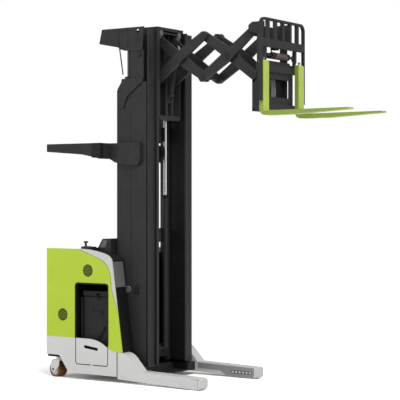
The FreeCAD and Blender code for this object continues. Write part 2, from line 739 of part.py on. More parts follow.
def guard_bracket():
    """Side plate that carries the guard on the mast; its outer face is left bare."""
    return side_prism([
        (guard_front_x, guard_top), (1036.0, guard_top), (1036.0, 2135.0),
        ((1021.0, 2100.0), (986.0, 2086.0)), (880.0, 2090.0), (740.0, 2116.0),
        (guard_front_x, 2152.0)], -outer_face - 40.0, -outer_face)


# ---------------------------------------------------------------- scissor carriage
def arm_outline(x0, z0, x1, z1, left, right):
    """Arm between two pins: clipped ends, and half widths at the crossing on its left and
    right edges, looking from the first pin to the second."""
    length = math.dist((x0, z0), (x1, z1))
    ux, uz = (x1 - x0) / length, (z1 - z0) / length
    nx, nz = -uz, ux
    near, far = -arm_over * 0.35, length + arm_over * 0.35

    def at(along, across):
        return x0 + ux * along + nx * across, z0 + uz * along + nz * across
    return [at(-arm_over, arm_end * 0.45), at(near, arm_end), at(length / 2.0, left), at(far, arm_end),
            at(length + arm_over, arm_end * 0.45), at(length + arm_over, -arm_end * 0.45),
            at(far, -arm_end), at(length / 2.0, -right), at(near, -arm_end),
            at(-arm_over, -arm_end * 0.45)]


def arm_pair(x0, z0, x1, z1, y_out, bulge, holes):
    """Two like arms, one each side of the middle, with pin holes at the given places.
    bulge is (left, right) half widths at the crossing."""
    plate = side_prism(arm_outline(x0, z0, x1, z1, *bulge), -y_out, -y_out + arm_t)
    drills = [rod((hx, -y_out - boss_t - 1, hz), (hx, -y_out + arm_t + 1, hz), r) for hx, hz, r in holes]
    if y_out == outer_arm_y:
        plate = fuse([plate, rod(((x0 + x1) / 2.0, -y_out - boss_t, cross_z),
                                 ((x0 + x1) / 2.0, -y_out + 1.0, cross_z), boss_r)])
    if drills:
        plate = cut(plate, drills)
    return both_sides(plate)


def pin(x, z, y, r=pin_r):
    """Shaft right across, from -y to y."""
    return rod((x, -y, z), (x, y, z), r)


def arm_a1():
    """Upper mast pin to lower knee, inner layer."""
    x0, xc, x1 = pin_xs[0], pin_xs[1], pin_xs[2]
    plates = arm_pair(x0, pivot_z, x1, low_z, inner_arm_y, (arm_end, arm_belly),
                      [(x0, pivot_z, pin_r + fit)])
    tx = x0 + tube_along * math.cos(arm_rad)
    tz = pivot_z - tube_along * math.sin(arm_rad)
    tube = rod((tx, -inner_arm_y + 1.0, tz), (tx, inner_arm_y - 1.0, tz), tube_r)
    return fuse(plates + cross_pins(xc) + [pin(x1, low_z, outer_arm_y - 1.0), tube])


def cross_pins(x):
    """Short pins on an inner arm that carry the outer arm, one each side."""
    y_in = inner_arm_y - arm_t + 1.0
    return [rod((x, s * (outer_arm_y + boss_t - 1.0), cross_z), (x, s * y_in, cross_z), pin_r)
            for s in (-1, 1)]


def arm_b1():
    """Lower mast roller to upper knee, outer layer."""
    x0, xc, x1 = pin_xs[0], pin_xs[1], pin_xs[2]
    plates = arm_pair(x0, low_z, x1, pivot_z, outer_arm_y, (arm_belly, arm_end),
                      [(xc, cross_z, pin_r + fit)])
    return fuse(plates + [pin(x1, pivot_z, outer_arm_y)] + roller_stubs(x0, outer_arm_y - arm_t + 1.0))


def roller_stubs(x, y_start):
    """Guide rollers at a lower arm end, inboard of the arm, on short pins."""
    stubs = []
    for s in (-1, 1):
        stubs.append(rod((x, s * y_start, low_z), (x, s * (roller_y - 1.0), low_z), pin_r))
        stubs.append(rod((x, s * roller_y, low_z), (x, s * (roller_y - roller_w), low_z), roller_r))
    return stubs


def arm_a2():
    """Upper knee to lower fork roller, inner layer."""
    x0, xc, x1 = pin_xs[2], pin_xs[3], pin_xs[4]
    plates = arm_pair(x0, pivot_z, x1, low_z, inner_arm_y, (arm_belly, arm_end),
                      [(x0, pivot_z, pin_r + fit), (xc, cross_z, pin_r + fit)])
    x, z = (x0 + xc) / 2.0, (pivot_z + cross_z) / 2.0
    y = inner_arm_y - 1.0
    tube = rod((x, -y, z), (x, y, z), 20.0)
    return fuse(plates + [tube] + roller_stubs(x1, inner_arm_y - arm_t + 1.0))


def arm_b2():
    """Lower knee to upper fork pin, outer layer, joined by the crossing shaft."""
    x0, xc, x1 = pin_xs[2], pin_xs[3], pin_xs[4]
    plates = arm_pair(x0, low_z, x1, pivot_z, outer_arm_y, (arm_end, arm_belly),
                      [(x0, low_z, pin_r + open_fit), (x1, pivot_z, pin_r + fit)])
    return fuse(plates + [pin(xc, cross_z, outer_arm_y - 1.0)])


def carriage_cheek():
    """Side plate with guide roller stubs, right side."""
    y1 = -carriage_plate_y
    y0 = y1 - carriage_plate_t
    plate = side_prism(rounded_rect(952.0, 1108.0, carriage_bottom, pivot_z + 75.0, 20.0), y0, y1)
    stub = rod((pivot_x, y1 - 1.0, pivot_z), (pivot_x, -inner_arm_y + arm_t - 1.0, pivot_z), pin_r)
    front_x = inner_front_x - flange_t - seat_gap - guide_r
    rear_x = inner_rear_x + flange_t + seat_gap + guide_r
    rollers = []
    for x, z in ((front_x, pivot_z - 83.0), (front_x, pivot_z - 213.0),
                 (rear_x, carriage_bottom + 135.0), (rear_x, carriage_bottom + 235.0)):
        rollers.append(rod((x, y0 + 1.0, z), (x, -197.0, z), 18.0))
        rollers.append(rod((x, -196.0, z), (x, -232.0, z), guide_r))
    return fuse([plate, stub] + rollers)


def roller_posts(x, z0):
    """Pair of upright channels, open outwards, in which an arm's rollers run."""
    x0 = x - roller_r - channel_gap - post_t
    x1 = x + roller_r + channel_gap + post_t
    shapes = []
    for s in (-1, 1):
        y_in, y_web, y_out = s * (post_web_y - post_t), s * post_web_y, s * post_out_y
        shapes.append(block(x0, x1, min(y_in, y_web), max(y_in, y_web), z0, post_top))
        for xf in (x0, x1 - post_t):
            shapes.append(block(xf, xf + post_t, min(y_in, y_out), max(y_in, y_out), z0, post_top))
    return shapes


def mast_carriage():
    """Side plates, cross bars and the two inner channels for the lower rollers."""
    half = carriage_plate_y + 1.0
    top_bar = block(1010.0, 1108.0, -half, half, pivot_z + 56.0, pivot_z + 73.0)
    low_bar = block(1010.0, 1108.0, -half, half, carriage_bottom, carriage_bottom + 45.0)
    web = (pivot_x - roller_r - channel_gap - post_t, pivot_x + roller_r + channel_gap + post_t)
    posts = roller_posts(pivot_x, carriage_bottom + 44.0)
    uprights = both_sides(block(web[0], pivot_x + 5.0, -post_web_y, -post_web_y + post_t,
                                post_top - 1.0, pivot_z + 57.0))
    foot = block(1060.0, web[1], -post_out_y, post_out_y, carriage_bottom, carriage_bottom + 45.0)
    posts += uprights + [foot]
    ex, ez = reach_eye
    lug = side_prism([(pivot_x + 12.0, ez - 80.0), (web[1], ez - 80.0), (ex + 22.0, ez),
                      ((ex, ez + 22.0), (ex - 22.0, ez)), (pivot_x + 12.0, ez - 40.0)], -28.0, -18.0)
    y_web = post_web_y - post_t + 1.0
    shelf = block(pivot_x + 12.0, web[1], -y_web, y_web, ez - 80.0, ez - 50.0)
    eye_pin = rod((ex, -27.0, ez), (ex, 27.0, ez), reach_pin_r)
    return fuse(both_sides(carriage_cheek()) + both_sides(lug) + posts
                + [top_bar, low_bar, shelf, eye_pin])


# ---------------------------------------------------------------- fork carriage
def fork_frame_cheek():
    y1 = -fork_frame_y
    y0 = y1 - fork_frame_t
    return side_prism([
        (2190.0, fork_frame_bottom + 29.0), (2225.0, fork_frame_bottom + 7.0),
        (fork_frame_front, fork_frame_bottom), (fork_frame_front, fork_frame_top),
        (2190.0, fork_frame_top), (2150.0, fork_frame_top - 28.0), (2150.0, pivot_z + 9.0),
        (column_x, pivot_z - 31.0), (column_x, fork_frame_bottom + 285.0),
        (2200.0, fork_frame_bottom + 249.0), (2200.0, fork_frame_bottom + 137.0)], y0, y1)


def fork_frame():
    """Frame on the scissor's front end: lugs for the upper pin, posts for the lower rollers."""
    half = fork_frame_y + 1.0
    x1 = fork_frame_front
    x_pin = pin_xs[4]
    shaft = pin(x_pin, pivot_z, outer_arm_y)
    lug = side_prism([(x_pin, pivot_z - 34.0), (x1 - 49.0, pivot_z - 50.0), (x1 - 49.0, pivot_z + 34.0),
                      (x_pin, pivot_z + 34.0), ((x_pin - 34.0, pivot_z), (x_pin, pivot_z - 34.0))],
                     -lug_y, -lug_y + lug_t)
    upper = block(x1 - 50.0, x1, -half, half, pivot_z - 83.0, pivot_z + 36.0)
    back = block(x1 - 50.0, x1 - 42.0, -half, half, fork_frame_bottom + 54.0, guide_z + 1.0)
    lower = block(x1 - 50.0, x1, -half, half, fork_frame_bottom, fork_frame_bottom + 55.0)
    guide = block(x1 - 3.0, x1 + channel_bar, -280.0, 280.0, guide_z, guide_top)
    low_guide = block(x1 - 3.0, x1 + channel_bar, -280.0, 280.0, fork_frame_bottom + 27.0,
                      fork_frame_bottom + 67.0)
    cross = block(x1 - 14.0, x1, -half, half, shift_cyl_z - 25.0, shift_cyl_z + 25.0)
    foot = block(x_pin - roller_r - channel_gap - post_t, x1 - 49.0, -post_out_y - 2.0, post_out_y + 2.0,
                 fork_frame_bottom, fork_frame_bottom + 15.0)
    tie = block(x_pin + roller_r + channel_gap + post_t - 1.0, x1, -post_out_y, post_out_y,
                post_top - 10.0, post_top + 12.0)
    posts = roller_posts(x_pin, fork_frame_bottom + 14.0)
    return fuse(both_sides(fork_frame_cheek()) + both_sides(lug) + posts
                + [shaft, upper, lower, back, guide, low_guide, cross, foot, tie])


def shift_cylinder():
    def across(half, r):
        return rod((shift_cyl_x, -half, shift_cyl_z), (shift_cyl_x, half, shift_cyl_z), r)
    barrel = across(shift_cyl_half, shift_cyl_r)
    feet = [block(fork_frame_front, shift_cyl_x, y - 20.0, y + 20.0, shift_cyl_z - 20.0, shift_cyl_z + 20.0)
            for y in (-90.0, 90.0)]
    return cut(fuse([barrel] + feet), [across(shift_cyl_half + 1.0, shift_rod_r + fit)])


def shift_frame():
    """Side-shifting plate with hook, fork bars and the side-shift rods."""
    plate_top = guide_top + 15.0
    half = fork_y - fork_w / 2.0 - shift_gap
    plate = front_prism([(-half, fork_frame_bottom), (half, fork_frame_bottom), (half, guide_z),
                         (200.0, plate_top), (-200.0, plate_top), (-half, guide_z)],
                        shift_x, shift_x + shift_plate_t)
    window = block(shift_x - 1, shift_x + 40.0, -160.0, 195.0, fork_frame_bottom + 122.0,
                   fork_frame_bottom + 287.0)
    plate = cut(plate, [window])
    hook = block(fork_frame_front + 1.0, shift_x + 1.0, -190.0, 190.0, guide_top + seat_gap, plate_top)
    bars = [block(bar_x, shank_x, -half, half, z0, z1)
            for z0, z1, half in ((guide_z - 30.0, guide_z + 35.0, backrest_half),
                             (fork_frame_bottom + 2.0, fork_frame_bottom + 57.0, fork_y + fork_w / 2.0))]
    ears = []
    for s in (-1, 1):
        ears.append(side_prism([(bar_x, guide_z + 30.0), (shank_x, guide_z + 30.0), (shank_x, guide_z + 70.0),
                                (backrest_x, guide_z + 90.0),
                                (backrest_x, ear_top), (bar_x, ear_top - 30.0)],
                               min(s * 250.0, s * 285.0), max(s * 250.0, s * 285.0)))
        ears.append(block(shift_cyl_x - 22.0, bar_x + 2.0, min(s * 250.0, s * 285.0),
                          max(s * 250.0, s * 285.0), shift_cyl_z - 25.0, shift_cyl_z + 25.0))
    through_rod = rod((shift_cyl_x, -251.0, shift_cyl_z), (shift_cyl_x, 251.0, shift_cyl_z), shift_rod_r)
    return fuse([plate, hook, through_rod] + bars + ears)


def backrest():
    """Load backrest: a round-cornered frame with upright bars above the rail."""
    x0, x1 = backrest_x, backrest_x + backrest_t
    half = backrest_half
    r = 70.0
    turn = r * 0.293
    outer = front_prism([(-half, backrest_foot), (-half, backrest_top - r),
                         ((-half + turn, backrest_top - turn), (-half + r, backrest_top)),
                         (half - r, backrest_top),
                         ((half - turn, backrest_top - turn), (half, backrest_top - r)),
                         (half, backrest_foot)], x0, x1)
    r_in = r - backrest_post
    top_in = backrest_top - backrest_post
    h_in = half - backrest_post
    turn_in = r_in * 0.293
    hole = front_prism([(-h_in, backrest_foot - 50.0), (-h_in, top_in - r_in),
                        ((-h_in + turn_in, top_in - turn_in), (-h_in + r_in, top_in)),
                        (h_in - r_in, top_in),
                        ((h_in - turn_in, top_in - turn_in), (h_in, top_in - r_in)),
                        (h_in, backrest_foot - 50.0)], x0 - 1, x1 + 1)
    frame = cut(outer, [hole])
    rail_bar = block(x0, x1, -h_in - 1.0, h_in + 1.0, backrest_rail_z, backrest_rail_z + backrest_rail_h)
    pitch = 2.0 * half / (backrest_bars + 1)
    centres = [-half + pitch * (i + 1) for i in range(backrest_bars)]
    bars = [block(x0, x1, y - backrest_bar / 2.0, y + backrest_bar / 2.0,
                  backrest_rail_z + backrest_rail_h - 1.0, top_in + 1.0) for y in centres]
    feet = both_sides(block(shank_x, x0 + 1.0, -half, -h_in, guide_z - 25.0, guide_z + 30.0))
    return fuse([frame, rail_bar] + bars + feet)


def fork(side):
    """L-shaped fork with a rounded heel and a tapered, round-ended blade."""
    y0 = side * fork_y - fork_w / 2.0
    y1 = y0 + fork_w
    heel = 60.0
    k = heel * 0.293
    top = fork_bottom + fork_blade_t
    shape = side_prism([
        (shank_x, fork_top), (shank_front, fork_top), (shank_front, top + 12.0),
        ((shank_front + 3.5, top + 3.5), (shank_front + 12.0, top)), (fork_tip_x, top),
        (fork_tip_x, top - fork_tip_t), (shank_front + 320.0, fork_bottom),
        (shank_x + heel, fork_bottom), ((shank_x + k, fork_bottom + k), (shank_x, fork_bottom + heel))],
        y0, y1)
    corner = 30.0
    mask = plan_prism([(shank_x - 1, y0), (fork_tip_x - corner, y0),
                       ((fork_tip_x - corner * 0.293, y0 + corner * 0.293), (fork_tip_x, y0 + corner)),
                       (fork_tip_x, y1 - corner),
                       ((fork_tip_x - corner * 0.293, y1 - corner * 0.293), (fork_tip_x - corner, y1)),
                       (shank_x - 1, y1)], fork_bottom - 10, fork_top + 10)
    return shape.common(mask)


# ---------------------------------------------------------------- reach cylinder
def along_reach(distance):
    """Point on the reach cylinder's line at a distance from its lower eye."""
    tx = pivot_x + tube_along * math.cos(arm_rad)
    tz = pivot_z - tube_along * math.sin(arm_rad)
    length = math.dist(reach_eye, (tx, tz))
    share = distance / length
    return reach_eye[0] + (tx - reach_eye[0]) * share, reach_eye[1] + (tz - reach_eye[1]) * share


def on_reach(d0, d1, r):
    a, b = along_reach(d0), along_reach(d1)
    return rod((a[0], 0, a[1]), (b[0], 0, b[1]), r)


def reach_barrel():
    ex, ez = reach_eye
    eye = rod((ex, -17.0, ez), (ex, 17.0, ez), 22.0)
    barrel = fuse([eye, on_reach(8.0, 30.0, 15.0), on_reach(29.0, reach_barrel_len, reach_barrel_r)])
    return cut(barrel, [rod((ex, -18.0, ez), (ex, 18.0, ez), reach_pin_r + fit),
                        on_reach(50.0, reach_barrel_len + 1.0, reach_rod_r + fit)])


def reach_rod():
    """Rod with a wide eye round the cross tube of the first arm pair."""
    tx = pivot_x + tube_along * math.cos(arm_rad)
    tz = pivot_z - tube_along * math.sin(arm_rad)
    length = math.dist(reach_eye, (tx, tz))
    eye = rod((tx, -13.0, tz), (tx, 13.0, tz), reach_eye_r)
    hole = rod((tx, -14.0, tz), (tx, 14.0, tz), tube_r + reach_drift)
    return cut(fuse([eye, on_reach(length - reach_rod_len, length - reach_eye_r + 4.0, reach_rod_r)]), [hole])


def write_all():
    os.makedirs("parts", exist_ok=True)
    # tractor body
    export("chassis_frame", [chassis_frame()])
    for name, mirror in (("right", False), ("left", True)):
        def side(shape, flip=mirror):
            return [mirrored(shape) if flip else shape]
        export("upper_panel_" + name, side(upper_panel()))
        export("skirt_" + name, side(skirt()))
        export("bay_gate_" + name, side(bay_gate()))
        export("straddle_leg_" + name, side(straddle_leg()))
        export("mast_outer_rail_" + name, side(outer_rail()))
        export("mast_mid_rail_" + name, side(mid_rail()))
        export("mast_inner_rail_" + name, side(inner_rail()))
        sign = 1 if mirror else -1
        for i, x in enumerate(load_wheel_xs):
            export("load_wheel_%s_%d" % (name, i + 1), [load_wheel(x, sign)])
    export("shoulder_trims", both_sides(shoulder_trim()))
    export("console_deck", [console_deck()])
    export("console", [console()])
    export("armrest", [armrest()])
    export("drive_pod", [drive_pod()])
    export("steering_tiller", [steering_tiller()])
    export("floor_mat", [block(wall, partition_x, -wall_in, pod_y, floor_z + wall, floor_z + wall + mat_t)])
    export("battery", [block(battery_x0, battery_x1, -battery_half, battery_half, ground_gap + wall,
                             ground_gap + wall + battery_height)])
    # rear wheels
    export("caster_fork", [caster_fork()])
    export("caster_hub", [caster_hub()])
    export("caster_tyre", [caster_tyre()])
    export("steer_unit", [fuse([steer_unit(), drive_motor()])])
    export("drive_hub", [drive_hub()])
    export("drive_tyre", [drive_tyre()])
    # mast
    export("mast_base", [mast_base()])
    export("mast_outer_crossbars", ties(
        outer_rear_x, outer_rear_x + flange_t, outer_flange_in, tie_levels + ((2740.0, 2860.0),)))
    export("lift_cylinders", both_sides(lift_cylinder()))
    export("lift_rods", both_sides(lift_rod()))
    export("mast_mid_crossbars", ties(mid_rear_x, mid_rear_x + flange_t, mid_flange_in,
                                 tie_levels + ((mid_top - 165.0, mid_top - 5.0),)))
    export("mast_head", [mast_head()])
    first, others, pads = inner_ties()
    export("mast_inner_crossbars", [first] + others + pads + [top_plate()])
    export("free_lift_cylinders", [free_lift_barrel(-free_y), free_lift_barrel(free_y)])
    export("free_lift_rams", [free_lift_rams()])
    export("overhead_guard", [guard_frame()])
    export("guard_brackets", both_sides(guard_bracket()))
    # carriage
    export("mast_carriage", [mast_carriage()])
    export("scissor_arm_a1", [arm_a1()])
    export("scissor_arm_b1", [arm_b1()])
    export("scissor_arm_a2", [arm_a2()])
    export("scissor_arm_b2", [arm_b2()])
    export("reach_barrel", [reach_barrel()])
    export("reach_rod", [reach_rod()])
    export("fork_frame", [fork_frame()])
    export("shift_cylinder", [shift_cylinder()])
    export("shift_frame", [shift_frame()])
    export("load_backrest", [backrest()])
    export("forks", [fork(-1), fork(1)])


write_all()
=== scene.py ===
import json
import math

import bmesh
import bpy
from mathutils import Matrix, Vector


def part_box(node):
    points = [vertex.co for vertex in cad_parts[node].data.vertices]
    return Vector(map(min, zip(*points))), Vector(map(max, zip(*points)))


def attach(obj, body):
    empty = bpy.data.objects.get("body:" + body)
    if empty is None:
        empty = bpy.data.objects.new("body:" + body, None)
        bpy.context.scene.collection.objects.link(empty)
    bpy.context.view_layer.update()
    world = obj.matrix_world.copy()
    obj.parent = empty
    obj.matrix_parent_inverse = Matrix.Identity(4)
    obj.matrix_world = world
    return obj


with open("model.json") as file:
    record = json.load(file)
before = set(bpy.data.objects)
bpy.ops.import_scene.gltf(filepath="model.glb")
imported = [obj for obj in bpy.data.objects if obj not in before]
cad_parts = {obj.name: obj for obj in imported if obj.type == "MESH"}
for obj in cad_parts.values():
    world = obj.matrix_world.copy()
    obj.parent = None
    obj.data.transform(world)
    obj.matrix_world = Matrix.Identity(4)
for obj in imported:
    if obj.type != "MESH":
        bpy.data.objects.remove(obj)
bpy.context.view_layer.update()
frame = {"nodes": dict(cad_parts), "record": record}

# Metres, in the model's own frame: X forward, Y to the truck's left, Z up from the floor.
nodes = frame["nodes"]
joints = {j["name"]: j for j in frame["record"]["behaviour"]["joints"]}
SIDES = (("right", -1), ("left", 1))


def low(node):
    return Vector(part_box(node)[0])


def high(node):
    return Vector(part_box(node)[1])


def pivot(joint):
    return Vector(joints[joint]["pos_m"])


# ---- materials
DRIFT_SCALE = 2.6
STREAK_STRETCH = (46.0, 46.0, 0.35)
GRIME_SCALE = 7.0
SCUFF_SCALE = 38.0
DUST_SCALE = 11.0
GRAIN_SCALE = 14.0


def srgb(r, g, b):
    """Linear colour of an 8-bit one."""
    out = []
    for c in (r / 255.0, g / 255.0, b / 255.0):
        out.append(c / 12.92 if c <= 0.04045 else ((c + 0.055) / 1.055) ** 2.4)
    return tuple(out)


class Shader:
    """A Principled material and small helpers to wire nodes into it."""

    def __init__(self, name):
        self.material = bpy.data.materials.new(name)
        self.material.use_nodes = True
        self.nodes = self.material.node_tree.nodes
        self.link = self.material.node_tree.links.new
        self.nodes.clear()
        out = self.nodes.new("ShaderNodeOutputMaterial")
        self.bsdf = self.nodes.new("ShaderNodeBsdfPrincipled")
        self.link(self.bsdf.outputs[0], out.inputs[0])
        self.place = self.nodes.new("ShaderNodeTexCoord").outputs["Object"]

    def plug(self, value, socket):
        """Sets a socket to a number or a colour, or links a node's output to it."""
        if isinstance(value, (int, float)):
            socket.default_value = value
        elif isinstance(value, tuple):
            socket.default_value = (*value, 1)
        else:
            self.link(value, socket)

    def give(self, key, value):
        self.plug(value, self.bsdf.inputs[key])

    def noise(self, scale, detail=4.0, stretch=(1, 1, 1), rough=0.5):
        mapping = self.nodes.new("ShaderNodeMapping")
        mapping.inputs["Scale"].default_value = stretch
        self.link(self.place, mapping.inputs["Vector"])
        texture = self.nodes.new("ShaderNodeTexNoise")
        for key, value in (("Scale", scale), ("Detail", detail), ("Roughness", rough)):
            texture.inputs[key].default_value = value
        self.link(mapping.outputs[0], texture.inputs["Vector"])
        return texture.outputs["Fac"]

    def span(self, value, a, b, lo, hi):
        """Smooth step of a value, from the range a to b into lo to hi."""
        k = self.nodes.new("ShaderNodeMapRange")
        k.interpolation_type = "SMOOTHSTEP"
        for key, v in (("From Min", a), ("From Max", b), ("To Min", lo), ("To Max", hi), ("Value", value)):
            self.plug(v, k.inputs[key])
        return k.outputs[0]

    def math(self, x, y, op="MULTIPLY"):
        k = self.nodes.new("ShaderNodeMath")
        k.operation = op
        self.plug(x, k.inputs[0])
        self.plug(y, k.inputs[1])
        return k.outputs[0]

    def mix(self, a, b, fac, mode="MIX"):
        k = self.nodes.new("ShaderNodeMixRGB")
        k.blend_type = mode
        for key, v in (("Color1", a), ("Color2", b), ("Fac", fac)):
            self.plug(v, k.inputs[key])
        return k.outputs[0]

    def component(self, source, axis):
        """One component of a coordinate or of a normal, as a value."""
        k = self.nodes.new("ShaderNodeSeparateXYZ")
        self.link(source, k.inputs[0])
        return k.outputs[axis]

    def bump(self, height, strength, distance=0.001):
        k = self.nodes.new("ShaderNodeBump")
        for key, v in (("Strength", strength), ("Distance", distance), ("Height", height)):
            self.plug(v, k.inputs[key])
        self.link(k.outputs[0], self.bsdf.inputs["Normal"])


def painted(name, color, rough=0.4, drift=0.05, peel=220.0, bump=0.12, dust=0.0, dust_color=None, dust_top=0.5,
            shine=0.5, streaks=0.0, scuff=None, side_shade=None, metallic=0.0, grime=0.0):
    """Sprayed or moulded surface: slow tone drift, upright streaks, scuffs, grime in blotches,
    dust near the floor, orange-peel bump. Painted shade: the colour given for the sides darkens the faces that
    look to either side."""
    s = Shader(name)
    s.give("Metallic", metallic)
    s.give("Specular IOR Level", shine)
    base = color = srgb(*color)
    # Painted shade: faces that look to either side are mixed towards a darker colour.
    if side_shade:
        normal = s.nodes.new("ShaderNodeNewGeometry").outputs["Normal"]
        side_shade_mask = s.math(s.component(normal, "Y"), 0.0, "ABSOLUTE")
        base = s.mix(base, srgb(*side_shade), s.span(side_shade_mask, 0.55, 0.85, 0.0, 1.0))
    if streaks:
        bands = s.span(s.noise(1.0, 3.0, STREAK_STRETCH), 0.3, 0.7, 1.0 - streaks, 1.0 + streaks)
        base = s.mix(base, bands, 1.0, "MULTIPLY")
    tone = s.span(s.noise(DRIFT_SCALE, 5.0), 0.25, 0.75, 1.0 - drift, 1.0 + drift)
    base = s.mix(base, tone, 1.0, "MULTIPLY")
    if grime:
        blotches = s.span(s.noise(GRIME_SCALE, 9.0, rough=0.62), 0.52, 0.78, 0.0, grime)
        base = s.mix(base, tuple(c * 0.55 for c in color), blotches)
    if scuff:
        scratches = s.span(s.noise(SCUFF_SCALE, 9.0, rough=0.7), 0.60, 0.72, 0.0, 1.0)
        patches = s.span(s.noise(5.0, 3.0), 0.5, 0.72, 0.0, 0.75)
        base = s.mix(base, srgb(*scuff), s.math(scratches, patches))
    if dust:
        lowness = s.span(s.component(s.place, "Z"), 0.0, dust_top, 1.0, 0.0)
        amount = s.math(s.math(lowness, s.noise(DUST_SCALE, 8.0)), dust)
        base = s.mix(base, srgb(*dust_color), amount)
    s.give("Base Color", base)
    s.give("Roughness", s.span(s.noise(GRAIN_SCALE, 6.0), 0.3, 0.7, rough - 0.06, rough + 0.08))
    s.bump(s.noise(peel, 3.0), bump)
    return s.material


def rubber(name, color, rough=0.75):
    s = Shader(name)
    s.give("Specular IOR Level", 0.25)
    color = srgb(*color)
    pale = tuple(min(1.0, c * 2.2 + 0.01) for c in color)
    s.give("Base Color", s.mix(color, pale, s.span(s.noise(26.0, 8.0), 0.45, 0.75, 0.0, 0.45)))
    s.give("Roughness", s.span(s.noise(60.0), 0.3, 0.7, rough - 0.1, rough + 0.1))
    s.bump(s.noise(420.0), 0.35)
    return s.material


def ribbed_mat(name, color):
    """Rubber mat with fine raised ribs along the truck."""
    s = Shader(name)
    ribs = s.nodes.new("ShaderNodeTexWave")
    ribs.bands_direction = "Y"
    ribs.inputs["Scale"].default_value = 26.0
    ribs.inputs["Distortion"].default_value = 0.0
    s.link(s.place, ribs.inputs["Vector"])
    color = srgb(*color)
    worn = s.span(s.noise(9.0, 8.0), 0.45, 0.75, 0.0, 0.6)
    s.give("Base Color", s.mix(color, tuple(c * 2.5 for c in color), worn))
    s.give("Roughness", 0.8)
    s.bump(ribs.outputs["Fac"], 0.6, 0.002)
    return s.material


def glass(name):
    s = Shader(name)
    clouds = s.span(s.noise(5.0, 2.0), 0.3, 0.7, 0.0, 1.0)
    s.give("Base Color", s.mix(srgb(16, 22, 26), srgb(34, 44, 50), clouds))
    s.give("Roughness", 0.08)
    s.give("Coat Weight", 0.6)
    return s.material


PAINTS = {
    "lime": ((177, 203, 50), dict(rough=0.36, shine=0.35, drift=0.03, dust=0.10, dust_color=(140, 150, 80))),
    # The forks' side colour is painted shade on their side faces.
    "lime_fork": ((170, 190, 84), dict(rough=0.48, shine=0.3, drift=0.10, streaks=0.05, scuff=(150, 152, 132),
                                       side_shade=(128, 148, 60), grime=0.15, bump=0.2)),
    "grey_light": ((207, 207, 206), dict(drift=0.02, dust=0.22, dust_top=0.45, dust_color=(150, 147, 140))),
    "cream": ((199, 199, 193), dict(drift=0.02)),
    "mast_grey": ((45, 45, 46), dict(rough=0.46, shine=0.14, drift=0.06, streaks=0.07, grime=0.25, bump=0.16)),
    "arm_grey": ((46, 46, 47), dict(rough=0.48, shine=0.14, drift=0.08, scuff=(88, 88, 88), grime=0.3)),
    "black": ((18, 18, 19), dict(rough=0.55, shine=0.15, drift=0.12, grime=0.3, dust=0.3,
                                 dust_color=(70, 68, 64))),
    "battery": ((42, 42, 43), dict(rough=0.5, shine=0.12, grime=0.25)),
    "black_plastic": ((34, 34, 36), dict(rough=0.52, shine=0.3, peel=700.0, bump=0.3)),
    "pad_grey": ((92, 92, 93), dict(rough=0.5, drift=0.04, peel=600.0, bump=0.25)),
    "chrome": ((196, 198, 202), dict(rough=0.16, drift=0.02, metallic=1.0, bump=0.02)),
    "steel": ((132, 132, 134), dict(rough=0.36, drift=0.08, metallic=1.0, grime=0.3, streaks=0.05)),
    "zinc": ((118, 118, 116), dict(drift=0.08, metallic=0.8, grime=0.35)),
    "cylinder": ((70, 66, 62), dict(rough=0.42, drift=0.08, grime=0.3, scuff=(110, 104, 98))),
    "primer": ((74, 38, 32), dict(rough=0.55, drift=0.10, grime=0.4)),
    "mesh": ((128, 148, 42), dict(rough=0.45)),
    "red_line": ((170, 84, 78), dict(rough=0.45, drift=0.10)),
    "plate_grey": ((140, 140, 140), dict(rough=0.45, drift=0.04, shine=0.3, grime=0.2)),
    "chain": ((58, 56, 54), dict(rough=0.42, drift=0.10, metallic=0.5, grime=0.4, shine=0.3)),
    # Painted shade: a dark steel look for the chrome lift rods, which stand in shade.
    "rod_painted_shade": ((70, 70, 73), dict(rough=0.22, drift=0.03, metallic=0.9, bump=0.02)),
}
mats = {name: painted(name, color, **look) for name, (color, look) in PAINTS.items()}
mats["mat"] = ribbed_mat("mat", (27, 27, 28))
mats["tyre_dark"] = rubber("tyre_dark", (34, 31, 29))
mats["tyre_orange"] = rubber("tyre_orange", (116, 74, 40), rough=0.5)
mats["seal"] = rubber("seal", (14, 14, 14), rough=0.65)
mats["glass"] = glass("glass")

# Nodes and pieces whose surface isn't simply the one that their material slot is named after.
# The lift rods get the dark rod look, which paints their shade.
NODE_LOOK = {"battery": "battery", "shift_cylinder": "cylinder", "lift_rods": "rod_painted_shade"}
NODE_LOOK.update({"scissor_arm_" + arm: "arm_grey" for arm in ("a1", "b1", "a2", "b2")})
SLOT_OF_LOOK = {"battery": "black", "seal": "black", "primer": "black", "zinc": "steel", "chain": "steel",
                "glass": "black_plastic", "pad_grey": "black_plastic", "mesh": "lime",
                "red_line": "grey_light", "plate_grey": "grey_light", "arm_grey": "mast_grey"}
NODE_EDGE = {"forks": 0.005, "battery": 0.006, "floor_mat": 0.004, "console": 0.007, "load_backrest": 0.004,
             "overhead_guard": 0.006, "mast_head": 0.003, "drive_pod": 0.006}
COMMON_EDGE = 0.002
BEVEL_ANGLE = math.radians(40.0)
SMOOTH_ANGLE = math.radians(30.0)


def bevel(obj, width, segments=2):
    edges = obj.modifiers.new("edges", "BEVEL")
    edges.width = width
    edges.segments = segments
    edges.limit_method = "ANGLE"
    edges.angle_limit = BEVEL_ANGLE


for row in frame["record"]["subparts"]:
    obj = nodes[row["node"]]
    obj.data.materials.clear()
    obj.data.materials.append(mats[NODE_LOOK.get(row["node"], row["material_slot"])])
    bevel(obj, NODE_EDGE.get(row["node"], COMMON_EDGE))


# ---- mesh tools
TINY = 1e-5
UP = (0, 0, 1)


def arc(cx, cz, r, first, last, steps=6):
    """Points of a circular arc between two angles in degrees."""
    turns = [math.radians(first + (last - first) * k / steps) for k in range(steps + 1)]
    return [(cx + r * math.cos(t), cz + r * math.sin(t)) for t in turns]


def circle(r, steps, start=0.0, cx=0.0, cz=0.0):
    turns = [2 * math.pi * k / steps + math.radians(start) for k in range(steps)]
    return [(cx + r * math.cos(t), cz + r * math.sin(t)) for t in turns]


